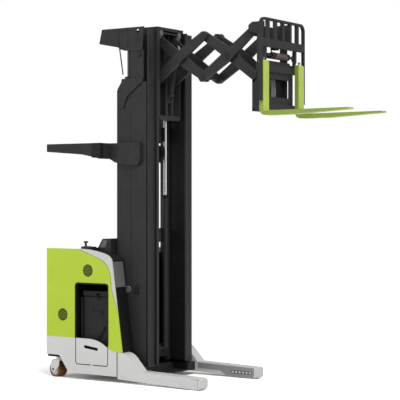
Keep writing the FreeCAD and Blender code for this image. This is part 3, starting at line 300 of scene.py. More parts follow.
def rounded(x0, x1, z0, z1, r):
    """Rounded rectangle as a list of points, anticlockwise."""
    corners = ((x1 - r, z0 + r, -90), (x1 - r, z1 - r, 0), (x0 + r, z1 - r, 90), (x0 + r, z0 + r, 180))
    return [point for cx, cz, a in corners for point in arc(cx, cz, r, a, a + 90, 5)]


def from_rear(points):
    """Points whose X is given from the rear end of the body."""
    return [(rear_x + x, z) for x, z in points]


def flat(points, y):
    """An outline in X and Z, set at one Y."""
    return [Vector((x, y, z)) for x, z in points]


class Mesh:
    def __init__(self):
        self.bm = bmesh.new()

    def box(self, a, b):
        lo = [min(p) for p in zip(a, b)]
        hi = [max(p) for p in zip(a, b)]
        for v in bmesh.ops.create_cube(self.bm, size=1.0)["verts"]:
            v.co = Vector((lo[i] + (v.co[i] + 0.5) * (hi[i] - lo[i]) for i in range(3)))

    def loops(self, rings, closed=False):
        """Skins a row of equal rings of points: capped at both ends, or closed from last to first."""
        rows = [[self.bm.verts.new(p) for p in ring] for ring in rings]
        count = len(rows[0])
        pairs = list(zip(rows, rows[1:]))
        if closed:
            pairs.append((rows[-1], rows[0]))
        for r0, r1 in pairs:
            for i in range(count):
                j = (i + 1) % count
                self.bm.faces.new((r0[i], r0[j], r1[j], r1[i]))
        if not closed:
            self.bm.faces.new(list(reversed(rows[0])))
            self.bm.faces.new(rows[-1])

    def prism(self, points, axis, d0, d1):
        """Outline in the plane across axis (its two coordinates in XYZ order), from d0 to d1."""
        def at(p, d):
            c = list(p)
            c.insert("XYZ".index(axis), d)
            return Vector(c)
        self.loops([[at(p, d) for p in points] for d in (d0, d1)])

    def lathe(self, profile, centre, direction, steps=32):
        """Turns (radius, height) pairs round an axis; a closed body from first to last pair."""
        direction = Vector(direction).normalized()
        side = direction.orthogonal().normalized()
        other = direction.cross(side)
        rings = []
        for r, h in profile:
            at = Vector(centre) + direction * h
            rings.append([at + side * u + other * v for u, v in circle(max(r, TINY), steps)])
        self.loops(rings)

    def pipe(self, points, r, steps=12, bend=0.02):
        """Round bar along a route with its corners rounded."""
        route = [Vector(points[0])]
        for a, b, c in zip(points, points[1:], points[2:]):
            a, b, c = Vector(a), Vector(b), Vector(c)
            d = min(bend, (a - b).length * 0.45, (c - b).length * 0.45)
            p, q = b + (a - b).normalized() * d, b + (c - b).normalized() * d
            for t in (0.0, 0.25, 0.5, 0.75, 1.0):
                route.append(p * (1 - t) ** 2 + b * 2 * t * (1 - t) + q * t ** 2)
        route.append(Vector(points[-1]))
        rings = []
        side = (route[1] - route[0]).orthogonal().normalized()
        for i, p in enumerate(route):
            ahead = (route[min(i + 1, len(route) - 1)] - route[max(i - 1, 0)]).normalized()
            side = (side - ahead * side.dot(ahead)).normalized()
            other = ahead.cross(side)
            rings.append([p + side * u + other * v for u, v in circle(r, steps)])
        self.loops(rings)

    def bolt(self, at, direction, size=0.012, washer=True):
        """Hexagon head, on a washer or bare, standing out from a surface."""
        direction = Vector(direction).normalized()
        base = Vector(at)
        if washer:
            self.lathe([(size * 1.05, -0.001), (size * 1.05, size * 0.18), (size * 0.9, size * 0.22)],
                       base, direction, 20)
            base = base + direction * size * 0.2
        self.lathe([(size * 0.86, -0.001), (size * 0.86, size * 0.55), (size * 0.74, size * 0.64)],
                   base, direction, 6)

    def cap(self, at, direction, r, h):
        """Turned pin end: chamfered disc with a ring groove and a centre hole."""
        self.lathe([(r, -0.002), (r, h * 0.8), (r * 0.93, h), (r * 0.72, h), (r * 0.69, h * 0.55),
                    (r * 0.60, h * 0.55), (r * 0.57, h), (r * 0.22, h), (r * 0.16, h * 0.4), (0.0, h * 0.4)],
                   at, direction, 36)

    def finish(self, name, look, slot=None, body="chassis", edge=0.0, segments=2):
        bmesh.ops.recalc_face_normals(self.bm, faces=self.bm.faces)
        me = bpy.data.meshes.new(name)
        self.bm.to_mesh(me)
        self.bm.free()
        obj = bpy.data.objects.new(name, me)
        bpy.context.collection.objects.link(obj)
        me.materials.append(mats[look])
        for p in me.polygons:
            p.use_smooth = True
        me.set_sharp_from_angle(angle=SMOOTH_ANGLE)
        if edge:
            bevel(obj, edge, segments)
        slot = slot or SLOT_OF_LOOK.get(look, look)
        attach(obj, body)


def slab(name, look, points, axis, d0, d1, **how):
    """A piece that is one prism."""
    m = Mesh()
    m.prism(points, axis, d0, d1)
    m.finish(name, look, **how)


def turned(name, look, profile, centre, direction, steps, **how):
    """A piece that is one turned body."""
    m = Mesh()
    m.lathe(profile, centre, direction, steps)
    m.finish(name, look, **how)


# ---- tractor body
body_y = high("upper_panel_left").y
rear_x = low("upper_panel_right").x
VENTS = (("upper", 0.521, 1.066), ("lower", 0.205, 0.625))
VENT_R = 0.062
VENT_DEEP = 0.008
VENT_STEPS = 48
VENT_STUDS = 28
COMB_PITCH = 0.0165
COMB_HOLE = 0.485
BAY_X0 = rear_x + 0.368
BAY_X1 = rear_x + 0.768
BAY_Z0 = 0.150
BAY_Z1 = 0.939
BAY_R = 0.026
LIP_IN = 0.0052
LIP_DEEP = 0.028
SILL_BREAK = 0.012
gate_top = high("bay_gate_right").z + 0.001
FRONT_STEP = 0.055
CUP_Z = 0.316
CUP_TILT = math.radians(-7.0)
GRIP_Z = 0.665
NOSE_X = 0.815
NOSE_Z = 1.171
NOSE_SLOPE = 0.125 / 0.875
SHOULDER_LINE = ((0.394, 1.2725), (0.562, 1.220), (0.725, 1.160), (0.770, 1.105), (0.790, 1.060),
                 (0.811, 0.900), (0.880, 0.706))
ARCH = ((0.004, 0.226), (0.144, 0.226), (0.170, 0.212), (0.252, 0.104), (0.236, 0.104), (0.160, 0.194),
        (0.140, 0.202), (0.004, 0.202))


def vent(side, sign, tag, cx, cz):
    """Round honeycomb grille sunk in the panel, with a rim and a ring of studs."""
    tail = "_%s_%s" % (side, tag)
    floor_y = body_y - VENT_DEEP
    out = (0, sign, 0)
    turned("vent_back" + tail, "black", [(VENT_R - 0.0015, 0.0), (VENT_R - 0.0015, 0.0012),
                                         (VENT_R - 0.004, 0.0018), (0.0, 0.0018)],
           (cx, sign * floor_y, cz), out, VENT_STEPS)
    comb = Mesh()
    rise = COMB_PITCH * 0.866
    rows = int(VENT_R / rise) + 1
    y0, y1 = sign * (floor_y + 0.002), sign * (body_y - 0.0015)
    for j in range(-rows, rows + 1):
        for i in range(-rows, rows + 1):
            x, z = COMB_PITCH * (i + 0.5 * (j % 2)), rise * j
            if math.hypot(x, z) > VENT_R - 0.008:
                continue
            cell = circle(COMB_PITCH / math.sqrt(3.0), 6, 30.0, cx + x, cz + z)
            hole = circle(COMB_PITCH * COMB_HOLE, 6, 30.0, cx + x, cz + z)
            comb.loops([flat(cell, y0), flat(cell, y1), flat(hole, y1), flat(hole, y0)], closed=True)
    bmesh.ops.remove_doubles(comb.bm, verts=comb.bm.verts, dist=1e-6)
    comb.finish("vent_mesh" + tail, "mesh")
    rim = Mesh()
    section = ((0.0005, floor_y), (0.0005, body_y - 0.0005), (0.002, body_y + 0.0008),
               (0.0045, body_y - 0.0005), (0.0045, floor_y))
    rim.loops([flat(circle(VENT_R - inset, VENT_STEPS, 0.0, cx, cz), sign * y) for inset, y in section],
              closed=True)
    rim.finish("vent_rim" + tail, "mesh")
    studs = Mesh()
    for x, z in circle(VENT_R - 0.0085, VENT_STUDS, 0.0, cx, cz):
        studs.lathe([(0.0022, -0.0005), (0.0022, 0.0008), (0.0012, 0.0016)],
                    (x, sign * (body_y - 0.0018), z), out, 8)
    studs.finish("vent_studs" + tail, "black")


def over_bay(inset):
    """The opening above the gate: up the rear edge, over the top and down the front edge."""
    r = BAY_R - inset
    return ([(BAY_X0 + inset, gate_top)] + arc(BAY_X0 + BAY_R, BAY_Z1 - BAY_R, r, 180, 90)
            + arc(BAY_X1 - BAY_R, BAY_Z1 - BAY_R, r, 90, 0) + [(BAY_X1 - inset, gate_top - FRONT_STEP)])


def rear_of_gate(inset):
    """The opening from the gate's top rear corner down to the middle of the sill."""
    return ([(BAY_X0 + inset, gate_top)]
            + arc(BAY_X0 + BAY_R, BAY_Z0 + BAY_R, BAY_R - inset, 180, 270)
            + [((BAY_X0 + BAY_X1) / 2 - SILL_BREAK, BAY_Z0 + inset)])


def front_of_gate(inset):
    """The opening from the gate's top front corner down to the middle of the sill."""
    return ([(BAY_X1 - inset, gate_top - FRONT_STEP)]
            + arc(BAY_X1 - BAY_R, BAY_Z0 + BAY_R, BAY_R - inset, 0, -90)
            + [((BAY_X0 + BAY_X1) / 2 + SILL_BREAK, BAY_Z0 + inset)])


def lip(name, sign, path, lap, proud):
    """Dark seal-coloured strip along an outline of the opening: laps the skin outside it and lines its edge;
    round the gate it is painted shadow in the gap.
    """
    seal = Mesh()
    rings = []
    for outer, edge, inner in zip(path(-lap), path(0.0003), path(LIP_IN)):
        mid = ((outer[0] + inner[0]) / 2, (outer[1] + inner[1]) / 2)
        section = ((outer, -0.001), (outer, proud * 0.6), (mid, proud), (inner, proud * 0.5),
                   (inner, -LIP_DEEP), (edge, -LIP_DEEP), (edge, -0.001))
        rings.append([Vector((x, sign * (body_y + off), z)) for (x, z), off in section])
    seal.loops(rings)
    seal.finish(name, "seal")


def battery_dress(side, sign):
    """Cover, top band, knob, grip and strap on the battery's side."""
    lo, hi = low("battery"), high("battery")
    out = (0, sign, 0)

    def y(off):
        return sign * (hi.y + off)

    outline = rounded(lo.x + 0.030, hi.x - 0.006, lo.z + 0.03, hi.z - 0.052, 0.012)
    slab("battery_side_" + side, "battery", outline, "Y", y(-0.001), y(0.022), edge=0.003)
    band = Mesh()
    band.prism(rounded(lo.x + 0.020, hi.x - 0.004, hi.z - 0.044, hi.z + 0.004, 0.006), "Y", y(-0.001), y(0.030))
    band.prism(rounded(lo.x + 0.004, lo.x + 0.016, lo.z + 0.03, hi.z - 0.06, 0.004), "Y", y(-0.001), y(0.040))
    band.finish("battery_band_" + side, "battery", edge=0.002)
    knob = Mesh()
    kx, kz = lo.x + 0.205, hi.z - 0.030
    knob.lathe([(0.017, -0.001), (0.017, 0.004), (0.012, 0.006), (0.012, 0.020), (0.016, 0.024), (0.016, 0.034),
                (0.012, 0.038), (0.0, 0.039)], (kx, y(0.030), kz), out, 28)
    knob.prism(rounded(kx - 0.011, kx + 0.011, kz - 0.055, kz - 0.02, 0.005), "Y", y(0.021), y(0.030))
    knob.finish("battery_knob_" + side, "seal", edge=0.001)
    grip = Mesh()
    gx = lo.x + 0.19
    for x in (gx - 0.062, gx + 0.062):
        grip.prism(rounded(x - 0.010, x + 0.010, GRIP_Z - 0.026, GRIP_Z + 0.026, 0.004), "Y",
                   y(0.021), y(0.030))
    bow = ((-0.062, 0.028), (-0.058, 0.046), (0.058, 0.046), (0.062, 0.028))
    grip.pipe([(gx + x, y(off), GRIP_Z - 0.004) for x, off in bow], 0.006, 12, 0.008)
    grip.finish("battery_grip_" + side, "black_plastic", edge=0.001)
    strap = Mesh()
    start = Vector((hi.x - 0.115, 0.0, 0.395))
    run = Vector((0.085, 0.0, 0.125))
    across = Vector((run.z, 0.0, -run.x)).normalized() * 0.011
    corners = (start - across, start + across, start + run + across, start + run - across)
    strap.loops([[Vector((p.x, y(off), p.z)) for p in corners] for off in (0.0225, 0.0285)])
    for share in (0.12, 0.88):
        p = start + run * share
        strap.bolt((p.x, y(0.028), p.z), out, 0.007)
    strap.finish("battery_strap_" + side, "black", edge=0.001)


def gate_cup(side, sign):
    """Hand cup behind the gate's slot."""
    mid = (low("bay_gate_" + side).x + high("bay_gate_" + side).x) / 2 - 0.010
    depth = body_y - 0.0125
    cos, sin = math.cos(CUP_TILT), math.sin(CUP_TILT)
    outline = [(x * cos - z * sin, x * sin + z * cos) for x, z in rounded(-0.1, 0.1, -0.025, 0.025, 0.024)]
    section = ((1.0, 1.0, 0.0), (0.86, 0.7, 0.028), (0.86 * 0.9, 0.7 * 0.85, 0.026), (0.95, 0.9, 0.0))
    cup = Mesh()
    cup.loops([flat([(mid + x * kx, CUP_Z + z * kz) for x, z in outline], sign * (depth - off))
               for kx, kz, off in section], closed=True)
    cup.finish("gate_cup_" + side, "seal", body="gate_" + side)


def body_trim(side, sign):
    """Dark band of painted shade inside the wheel arch, a line of painted shadow along the shoulder trim's
    edge, and a lighter panel that paints a highlight on the upper part of the sloped nose.
    """
    # Painted shade: a dark band inside the wheel arch.
    slab("arch_shade_" + side, "seal", from_rear(ARCH), "Y", sign * 0.528, sign * 0.537, edge=0.001)
    # Painted shadow: a dark line along the edge between the lime and the cream.
    seam = Mesh()
    seam.pipe(flat(from_rear(SHOULDER_LINE), sign * body_y), 0.0017, 8, 0.03)
    seam.finish("trim_shadow_line_" + side, "pad_grey", "black")
    # Painted highlight: a lighter panel on the upper part of the dark sloped nose.
    nose = []
    for level, off, z in ((1.160, -0.004, 1.160), (1.160, 0.006, 1.155),
                          (0.915, 0.006, 0.915), (0.915, -0.004, 0.910)):
        nose.append((NOSE_X + (NOSE_Z - level) * NOSE_SLOPE + off, z))
    slab("nose_highlight_panel_" + side, "pad_grey", from_rear(nose), "Y", sign * 0.384, sign * 0.534, edge=0.003)


for side, sign in SIDES:
    for tag, x, z in VENTS:
        vent(side, sign, tag, rear_x + x, z)
    lip("bay_seal_" + side, sign, over_bay, 0.008, 0.003)
    battery_dress(side, sign)
    gate_cup(side, sign)
    # Painted shadow: dark lines round the gate, in the gap between the gate and the opening.
    lip("gate_gap_shade_rear_" + side, sign, rear_of_gate, 0.0025, 0.0012)
    lip("gate_gap_shade_front_" + side, sign, front_of_gate, 0.0025, 0.0012)
    body_trim(side, sign)


# ---- driver's place
PEDAL_Y = (-0.24, -0.14)
BAR_Y = (-0.30, -0.02)
BAR_Z = 1.02
CONSOLE_KEYS = 5
CHEEK_LINE = ((0.152, 0.086), (0.193, 0.020), (0.204, 0.014), (0.247, 0.014), (0.222, 0.086))
KNEE_PAD = (-0.42, 0.08, 0.62, 0.86)
POD_LIDS = ((0.32, 0.62), (0.66, 0.98))


def console_dress():
    """Cheeks, display, keys, armrest pad and the boot of the control stick."""
    lo, hi = low("console"), high("console")
    cheek = [(lo.x + x, hi.z - drop) for x, drop in CHEEK_LINE]
    for side, y, sign in (("right", lo.y, -1), ("left", hi.y, 1)):
        slab("console_cheek_" + side, "pad_grey", cheek, "Y", y - sign * 0.001, y + sign * 0.004, edge=0.002)
    mid_y = (lo.y + hi.y) / 2
    foot = Vector((lo.x + 0.130, mid_y, high("console_deck").z + 0.023))
    slope = Vector((lo.x + 0.180, mid_y, hi.z - 0.008)) - foot
    reach = slope.length
    slope.normalize()
    out = Vector((-slope.z, 0, slope.x))
    for tag, look, half, grow, rise in (("bezel", "black_plastic", 0.150, 0.004, 0.006),
                                        ("glass", "glass", 0.120, -0.010, 0.008)):
        pane = Mesh()
        outline = rounded(-half, half, -grow, reach + grow, 0.008)
        ring = [foot + slope * z + Vector((0, y, 0)) for y, z in outline]
        pane.loops([[p + out * off for p in ring] for off in (-0.002, rise)])
        pane.finish("console_" + tag, look, edge=0.0015)
    keys = Mesh()
    for i in range(CONSOLE_KEYS):
        keys.lathe([(0.013, -0.006), (0.013, 0.004), (0.011, 0.007), (0.0, 0.0075)],
                   foot + Vector((-0.045, -0.10 + 0.05 * i, -0.018)), UP, 20)
    keys.finish("console_keys", "pad_grey")
    lo, hi = low("armrest"), high("armrest")
    slab("armrest_pad", "black_plastic", rounded(lo.x + 0.012, hi.x - 0.045, lo.y + 0.006, hi.y - 0.006, 0.018),
         "Z", lo.z + 0.026, lo.z + 0.038, edge=0.005, segments=3)
    turned("stick_boot", "seal", [(0.024, 0.0), (0.024, 0.004), (0.019, 0.010), (0.021, 0.014), (0.016, 0.019),
                                  (0.018, 0.023), (0.012, 0.028), (0.0, 0.029)],
           (hi.x - 0.018, (lo.y + hi.y) / 2, lo.z + 0.004), UP, 28, slot="black_plastic")


def compartment():
    """Pedal, grab bar, knee pad, and the rail and lids of the drive pod."""
    lo, hi = low("floor_mat"), high("floor_mat")
    pedal = Mesh()
    pedal.prism(rounded(lo.x + 0.11, lo.x + 0.23, *PEDAL_Y, 0.014), "Z", hi.z, hi.z + 0.014)
    for i in range(5):
        x = lo.x + 0.122 + 0.021 * i
        pedal.box((x, PEDAL_Y[0] + 0.008, hi.z + 0.013), (x + 0.009, PEDAL_Y[1] - 0.008, hi.z + 0.017))
    pedal.finish("floor_pedal", "black_plastic", edge=0.002)
    bar = Mesh()
    wall = hi.x - 0.002
    for y in BAR_Y:
        bar.lathe([(0.022, 0.0), (0.022, 0.005), (0.014, 0.008)], (wall, y, BAR_Z), (-1, 0, 0), 24)
    y0, y1 = BAR_Y
    hoop = ((wall, y0), (wall - 0.055, y0), (wall - 0.055, y1), (wall, y1))
    bar.pipe([(x, y, BAR_Z) for x, y in hoop], 0.011, 16, 0.03)
    bar.finish("grab_bar", "black_plastic")
    slab("knee_pad", "black_plastic", rounded(*KNEE_PAD, 0.05), "X", wall - 0.028, wall, edge=0.011, segments=4)
    lo, hi = low("drive_pod"), high("drive_pod")
    rail = Mesh()
    hoop = ((lo.x + 0.05, -0.002), (lo.x + 0.05, 0.06), (hi.x - 0.06, 0.06), (hi.x - 0.06, -0.002))
    rail.pipe([(x, lo.y + 0.03, hi.z + up) for x, up in hoop], 0.010, 16, 0.03)
    rail.finish("pod_rail", "black_plastic")
    lids = Mesh()
    for z0, z1 in POD_LIDS:
        lids.prism(rounded(lo.x + 0.03, hi.x - 0.03, z0, z1, 0.02), "Y", lo.y - 0.004, lo.y + 0.001)
    for k in range(6):
        z = 0.38 + 0.028 * k
        lids.box((lo.x + 0.07, lo.y - 0.006, z), (hi.x - 0.07, lo.y - 0.003, z + 0.008))
    lids.finish("pod_lids", "black_plastic", edge=0.0015)
    lo, hi = low("steering_tiller"), high("steering_tiller")
    turned("tiller_knob", "black_plastic", [(0.012, -0.002), (0.014, 0.004), (0.010, 0.010), (0.018, 0.020),
                                            (0.021, 0.034), (0.017, 0.046), (0.0, 0.050)],
           ((lo.x + hi.x) / 2 - 0.055, lo.y + 0.028, hi.z - 0.004), UP, 28)


console_dress()
compartment()


# ---- legs and wheels
TIP_TALL = 0.105
LEG_PLATE = ((1.150, 0.118), (1.150, 0.064), (1.415, 0.058), (1.480, 0.020), (1.800, 0.012), (1.812, 0.040),
             (1.812, 0.100), (1.800, 0.106))
CHEEK = ((-0.024, 0.094), (0.088, 0.094), (0.088, 0.044), (0.030, -0.022), (0.010, -0.031), (-0.012, -0.031),
         (-0.034, -0.012), (-0.043, 0.030))
CHEEK_Y = (0.0635, 0.0675)


def leg_outside(side, sign, lo, hi, outer, inner):
    """Bumper, seams, stripe, wheel cover and screws on the visible sides of a leg."""
    tip_top = lo.z + TIP_TALL
    bumper = Mesh()
    y0, y1 = min(inner, outer) + 0.005, max(inner, outer) - 0.005
    bumper.prism(rounded(y0, y1, lo.z + 0.014, tip_top - 0.008, 0.010), "X", hi.x - 0.004, hi.x + 0.002)
    for k in range(5):
        z = lo.z + 0.022 + 0.016 * k
        bumper.prism(rounded(y0 + 0.008, y1 - 0.008, z, z + 0.008, 0.003), "X", hi.x + 0.001, hi.x + 0.005)
    bumper.finish("leg_bumper_" + side, "grey_light", edge=0.001)
    proud, sunk = outer + sign * 0.0008, outer - sign * 0.003
    seam = Mesh()
    x = hi.x - 0.030
    seam.box((x - 0.0015, proud, lo.z + 0.010), (x + 0.0015, sunk, tip_top))
    seam.box((lo.x - 0.0090, outer - sign * 0.010, lo.z + 0.055), (lo.x + 0.0004, proud, 0.293))
    seam.finish("leg_seam_" + side, "seal", edge=0.0004)
    stripe = Mesh()
    stripe.box((x - 0.07, proud, tip_top - 0.012), (hi.x - 0.009, sunk, tip_top - 0.0085))
    stripe.box((hi.x - 0.004, outer - sign * 0.010, tip_top - 0.014),
               (hi.x + 0.003, inner + sign * 0.010, tip_top - 0.0105))
    stripe.finish("leg_stripe_" + side, "red_line", edge=0.0004)
    cover = Mesh()
    ring = rounded(rear_x + 1.588, rear_x + 1.792, 0.028, 0.086, 0.020)
    inside = rounded(rear_x + 1.594, rear_x + 1.786, 0.034, 0.080, 0.015)
    root, face = outer - sign * 0.001, outer + sign * 0.0022
    cover.loops([flat(ring, root), flat(ring, face), flat(inside, face), flat(inside, root)], closed=True)
    for i in (1, 2):
        axle = pivot("load_wheel_%s_%d_roll" % (side, i))
        cover.cap((axle.x, outer, axle.z + 0.006), (0, sign, 0), 0.016, 0.003)
    cover.finish("leg_cover_" + side, "grey_light", edge=0.0006)
    screws = Mesh()
    for x in (lo.x + 0.060, lo.x + 0.090):
        screws.bolt((x, outer, 0.075), (0, sign, 0), 0.009)
    for x in (-0.28, -0.17):
        screws.bolt((x, (inner + outer) / 2, 0.1265), UP, 0.008, False)
    screws.finish("leg_screws_" + side, "grey_light")


def leg_inside(side, sign, inner):
    """Plate with a slot and a row of rollers on the leg's inner side, and the hubs of its wheels. The slot is a
    dark sheet, painted shade of the opening's inside.
    """
    slab("leg_plate_" + side, "plate_grey", from_rear(LEG_PLATE), "Y",
         inner + sign * 0.001, inner - sign * 0.003, edge=0.001)
    # Painted shade: a dark sheet stands for the shaded inside of the slot.
    face = inner - sign * 0.0042
    slab("leg_slot_shade_" + side, "pad_grey", rounded(rear_x + 1.545, rear_x + 1.790, 0.038, 0.074, 0.016),
         "Y", inner - sign * 0.002, face, slot="black", edge=0.0005)
    rollers = Mesh()
    for k in range(6):
        rollers.lathe([(0.010, -0.001), (0.010, 0.003), (0.007, 0.005), (0.0, 0.005)],
                      (rear_x + 1.568 + 0.040 * k, face, 0.056), (0, -sign, 0), 20)
    rollers.finish("leg_rollers_" + side, "grey_light")
    for i in (1, 2):
        node = "load_wheel_%s_%d" % (side, i)
        centre = (low(node) + high(node)) / 2
        hub = Mesh()
        for d, y in ((-1, low(node).y), (1, high(node).y)):
            hub.lathe([(0.028, -0.002), (0.028, 0.002), (0.022, 0.004), (0.016, 0.004), (0.014, 0.002),
                       (0.0125, 0.002)], (centre.x, y - d * 0.003, centre.z), (0, d, 0), 28)
        hub.finish("wheel_hub_%s_%d" % (side, i), "steel", body=node)


def rear_wheels():
    """Yoke cheeks, axle caps and swivel nut of the caster; nuts and hub cap of the drive wheel."""
    axle, axis = pivot("caster_roll"), Vector(joints["caster_roll"]["axis"]).normalized()
    for i, d in enumerate((-1, 1)):
        cap = Mesh()
        cap.cap(axle + axis * d * CHEEK_Y[1], axis * d, 0.013, 0.006)
        cap.finish("caster_cap_%d" % (i + 1), "zinc", body="caster_yoke")
    top = pivot("caster_swivel")
    ahead = Vector((top.x - axle.x, top.y - axle.y, 0)).normalized()
    cheeks = Mesh()
    outline = [axle + ahead * a + Vector((0, 0, h)) for a, h in CHEEK]
    for d in (-1, 1):
        cheeks.loops([[p + axis * d * off for p in outline] for off in CHEEK_Y])
    cheeks.finish("caster_cheeks", "grey_light", body="caster_yoke", edge=0.001)
    top.z = high("caster_fork").z
    turned("caster_nut", "zinc", [(0.020, -0.006), (0.020, 0.002), (0.016, 0.006), (0.010, 0.006),
                                  (0.008, 0.003), (0.0, 0.003)], top, UP, 28, body="caster_yoke")
    axle = pivot("drive_roll")
    nuts = Mesh()
    for d, y in ((-1, low("drive_hub").y), (1, high("drive_hub").y)):
        for x, z in circle(0.062, 7, 0.0, axle.x, axle.z):
            nuts.bolt((x, y - d * 0.001, z), (0, d, 0), 0.009)
        nuts.lathe([(0.036, -0.002), (0.036, 0.006), (0.030, 0.010), (0.0, 0.011)],
                   (axle.x, y - d * 0.001, axle.z), (0, d, 0), 28)
    nuts.finish("drive_nuts", "zinc", body="drive_wheel")


for side, sign in SIDES:
    lo, hi = low("straddle_leg_" + side), high("straddle_leg_" + side)
    inner = sign * min(abs(lo.y), abs(hi.y))
    leg_outside(side, sign, lo, hi, sign * body_y, inner)
    leg_inside(side, sign, inner)
rear_wheels()


# ---- mast
MAST_FACE = 0.365
BOSS_X = rear_x + 0.876
BOSS_Z = 0.889
BRACKET_Y = 0.405
GUSSET_LINE = ((1.040, 2.882), (0.960, 2.822), (0.878, 2.763), (0.848, 2.716), (0.822, 2.642))
SHEAVE_R = 0.044
SHEAVE_Y = 0.078
CHAIN_PITCH = 0.0254
CHAIN_WIDE = 0.022
CHAIN_LONG = 1.02
PIPE_Y = 0.232
PIPE_X = rear_x + 0.868
LIFT_X = rear_x + 0.838
LINER_Y = 0.2278
HEAD_PLATE = (0.775, 0.870, 3.225, 3.405)
ANCHOR = ((-0.070, 0.032), (0.002, 0.032), (0.002, 0.075), (-0.020, 0.110), (-0.070, 0.110))


def mast_sides(side, sign):
    """Boss cap, cover, connector and screws on the outer side of the mast and guard,
    with a black bead of painted shadow along the gusset's edge and a dark band of painted shade at the guard's
    end.
    """
    face = sign * MAST_FACE
    out = (0, sign, 0)
    turned("mast_boss_cap_" + side, "pad_grey", [(0.034, -0.010), (0.034, 0.004), (0.030, 0.008),
                                                 (0.022, 0.008), (0.020, 0.002), (0.012, 0.002),
                                                 (0.011, 0.009), (0.0, 0.010)],
           (BOSS_X, face + sign * 0.008, BOSS_Z), out, 40, slot="mast_grey")
    slab("mast_cover_" + side, "mast_grey", rounded(rear_x + 0.738, rear_x + 0.903, 0.30, 2.620, 0.004),
         "Y", face - sign * 0.001, face + sign * 0.002, edge=0.001)
    block = Mesh()
    for k in range(4):
        z = BOSS_Z - 0.041 + 0.0215 * k
        block.prism(rounded(rear_x + 0.959, rear_x + 1.001, z, z + 0.016, 0.003), "Y",
                    face + sign * 0.009, face + sign * 0.015)
    block.finish("connector_ribs_" + side, "seal", edge=0.001)
    # Painted shadow: a black bead along the gusset's lower edge, where its shadow line falls.
    shadow_bead = Mesh()
    shadow_bead.pipe(flat(from_rear(GUSSET_LINE), face + sign * 0.009), 0.0035, 8, 0.03)
    shadow_bead.finish("gusset_shadow_line_" + side, "black", "mast_grey")
    screws = Mesh()
    for x, z in from_rear(((0.700, 2.170), (0.700, 2.285), (1.010, 2.150), (1.010, 2.285))):
        screws.lathe([(0.010, -0.001), (0.010, 0.003), (0.007, 0.005), (0.005, 0.005), (0.004, 0.002),
                      (0.0, 0.002)], (x, sign * BRACKET_Y, z), out, 20)
    screws.finish("guard_screws_" + side, "mast_grey")
    # Painted shade: a dark band at the guard beam's front end, where its end face and the step to the bracket
    # stand in shade.
    end = high("overhead_guard")
    x0, x1, top = end.x - 0.105, end.x + 0.0015, end.z + 0.001
    slab("guard_end_shade_" + side, "seal", [(x0, 2.163), (x1, 2.1535), (x1, top), (x0, top)], "Y",
         sign * (body_y - 0.046), sign * (body_y + 0.0015), edge=0.002)


def leaf_chain(name, x, y, z0, z1, body):
    """Leaf chain as stacked link plates."""
    m = Mesh()
    waist, end = CHAIN_PITCH / 2, CHAIN_PITCH + 0.004
    link = ((-0.008, -0.004), (0.008, -0.004), (0.005, waist), (0.008, end), (-0.008, end), (-0.005, waist))
    for k in range(int((z1 - z0) / CHAIN_PITCH)):
        outline = [(x + dx, z0 + CHAIN_PITCH * k + dz) for dx, dz in link]
        for row in ((-1, 0, 1) if k % 2 else (-0.5, 0.5)):
            mid = y + row * CHAIN_WIDE / 3.0
            m.prism(outline, "Y", mid - CHAIN_WIDE / 7.0, mid + CHAIN_WIDE / 7.0)
    m.finish(name, "chain", body=body)


def sheave(name, centre, r, w, body):
    half = [(0.012, 0.5), (r * 0.55, 0.5), (r * 0.60, 0.3), (r * 0.86, 0.3), (r * 0.9, 0.5), (r, 0.5),
            (r, 0.36), (r * 0.9, 0.22)]
    profile = [(a, -w * share) for a, share in half] + [(a, w * share) for a, share in reversed(half)]
    turned(name, "steel", profile, centre, (0, 1, 0), 40, body=body)


def mast_inside(side, sign):
    """Sheave with its fork and chain, cylinder glands and hydraulic pipe."""
    lo, hi = low("free_lift_rams"), high("free_lift_rams")
    x, y = (lo.x + hi.x) / 2, sign * SHEAVE_Y
    hub_z = hi.z + 0.012
    sheave("sheave_" + side, (x, y, hub_z), SHEAVE_R, 0.030, "free_lift")
    fork = Mesh()
    outline = ((-0.017, -0.030), (0.017, -0.030), (0.017, 0.006), (0.010, 0.024), (-0.010, 0.024),
               (-0.017, 0.006))
    for mid in (y - 0.021, y + 0.021):
        fork.prism([(x + dx, hi.z + dz) for dx, dz in outline], "Y", mid - 0.003, mid + 0.003)
    fork.bolt((x, y + sign * 0.024, hub_z), (0, sign, 0), 0.010)
    fork.finish("sheave_fork_" + side, "mast_grey", body="free_lift", edge=0.001)
    leaf_chain("lift_chain_" + side, x - 0.046, y, hi.z - CHAIN_LONG, hi.z + 0.006, "free_lift")
    turned("free_gland_" + side, "black", [(0.029, -0.030), (0.029, -0.004), (0.026, 0.0), (0.019, 0.0)],
           (x, sign * 0.110, high("free_lift_cylinders").z), UP, 32, body="mast_inner")
    turned("lift_gland_" + side, "mast_grey", [(0.044, -0.040), (0.044, -0.028), (0.0405, -0.025),
                                               (0.0405, -0.014), (0.044, -0.010), (0.044, 0.002),
                                               (0.030, 0.006), (0.0205, 0.006)],
           (LIFT_X, sign * 0.300, high("lift_cylinders").z), UP, 40)
    line = Mesh()
    pipe_y = sign * PIPE_Y
    line.pipe([(LIFT_X, sign * 0.262, 2.895), (LIFT_X, sign * 0.240, 2.895), (PIPE_X - 0.010, pipe_y, 2.80),
               (PIPE_X, pipe_y, 0.40), (PIPE_X, pipe_y, 0.16)], 0.007, 12, 0.04)
    for z in (0.26, 1.40, 2.40, 2.78):
        line.prism(rounded(PIPE_X - 0.010, PIPE_X + 0.016, pipe_y - 0.014, pipe_y + 0.014, 0.004), "Z",
                   z - 0.012, z + 0.012)
    line.finish("mast_pipe_" + side, "black")


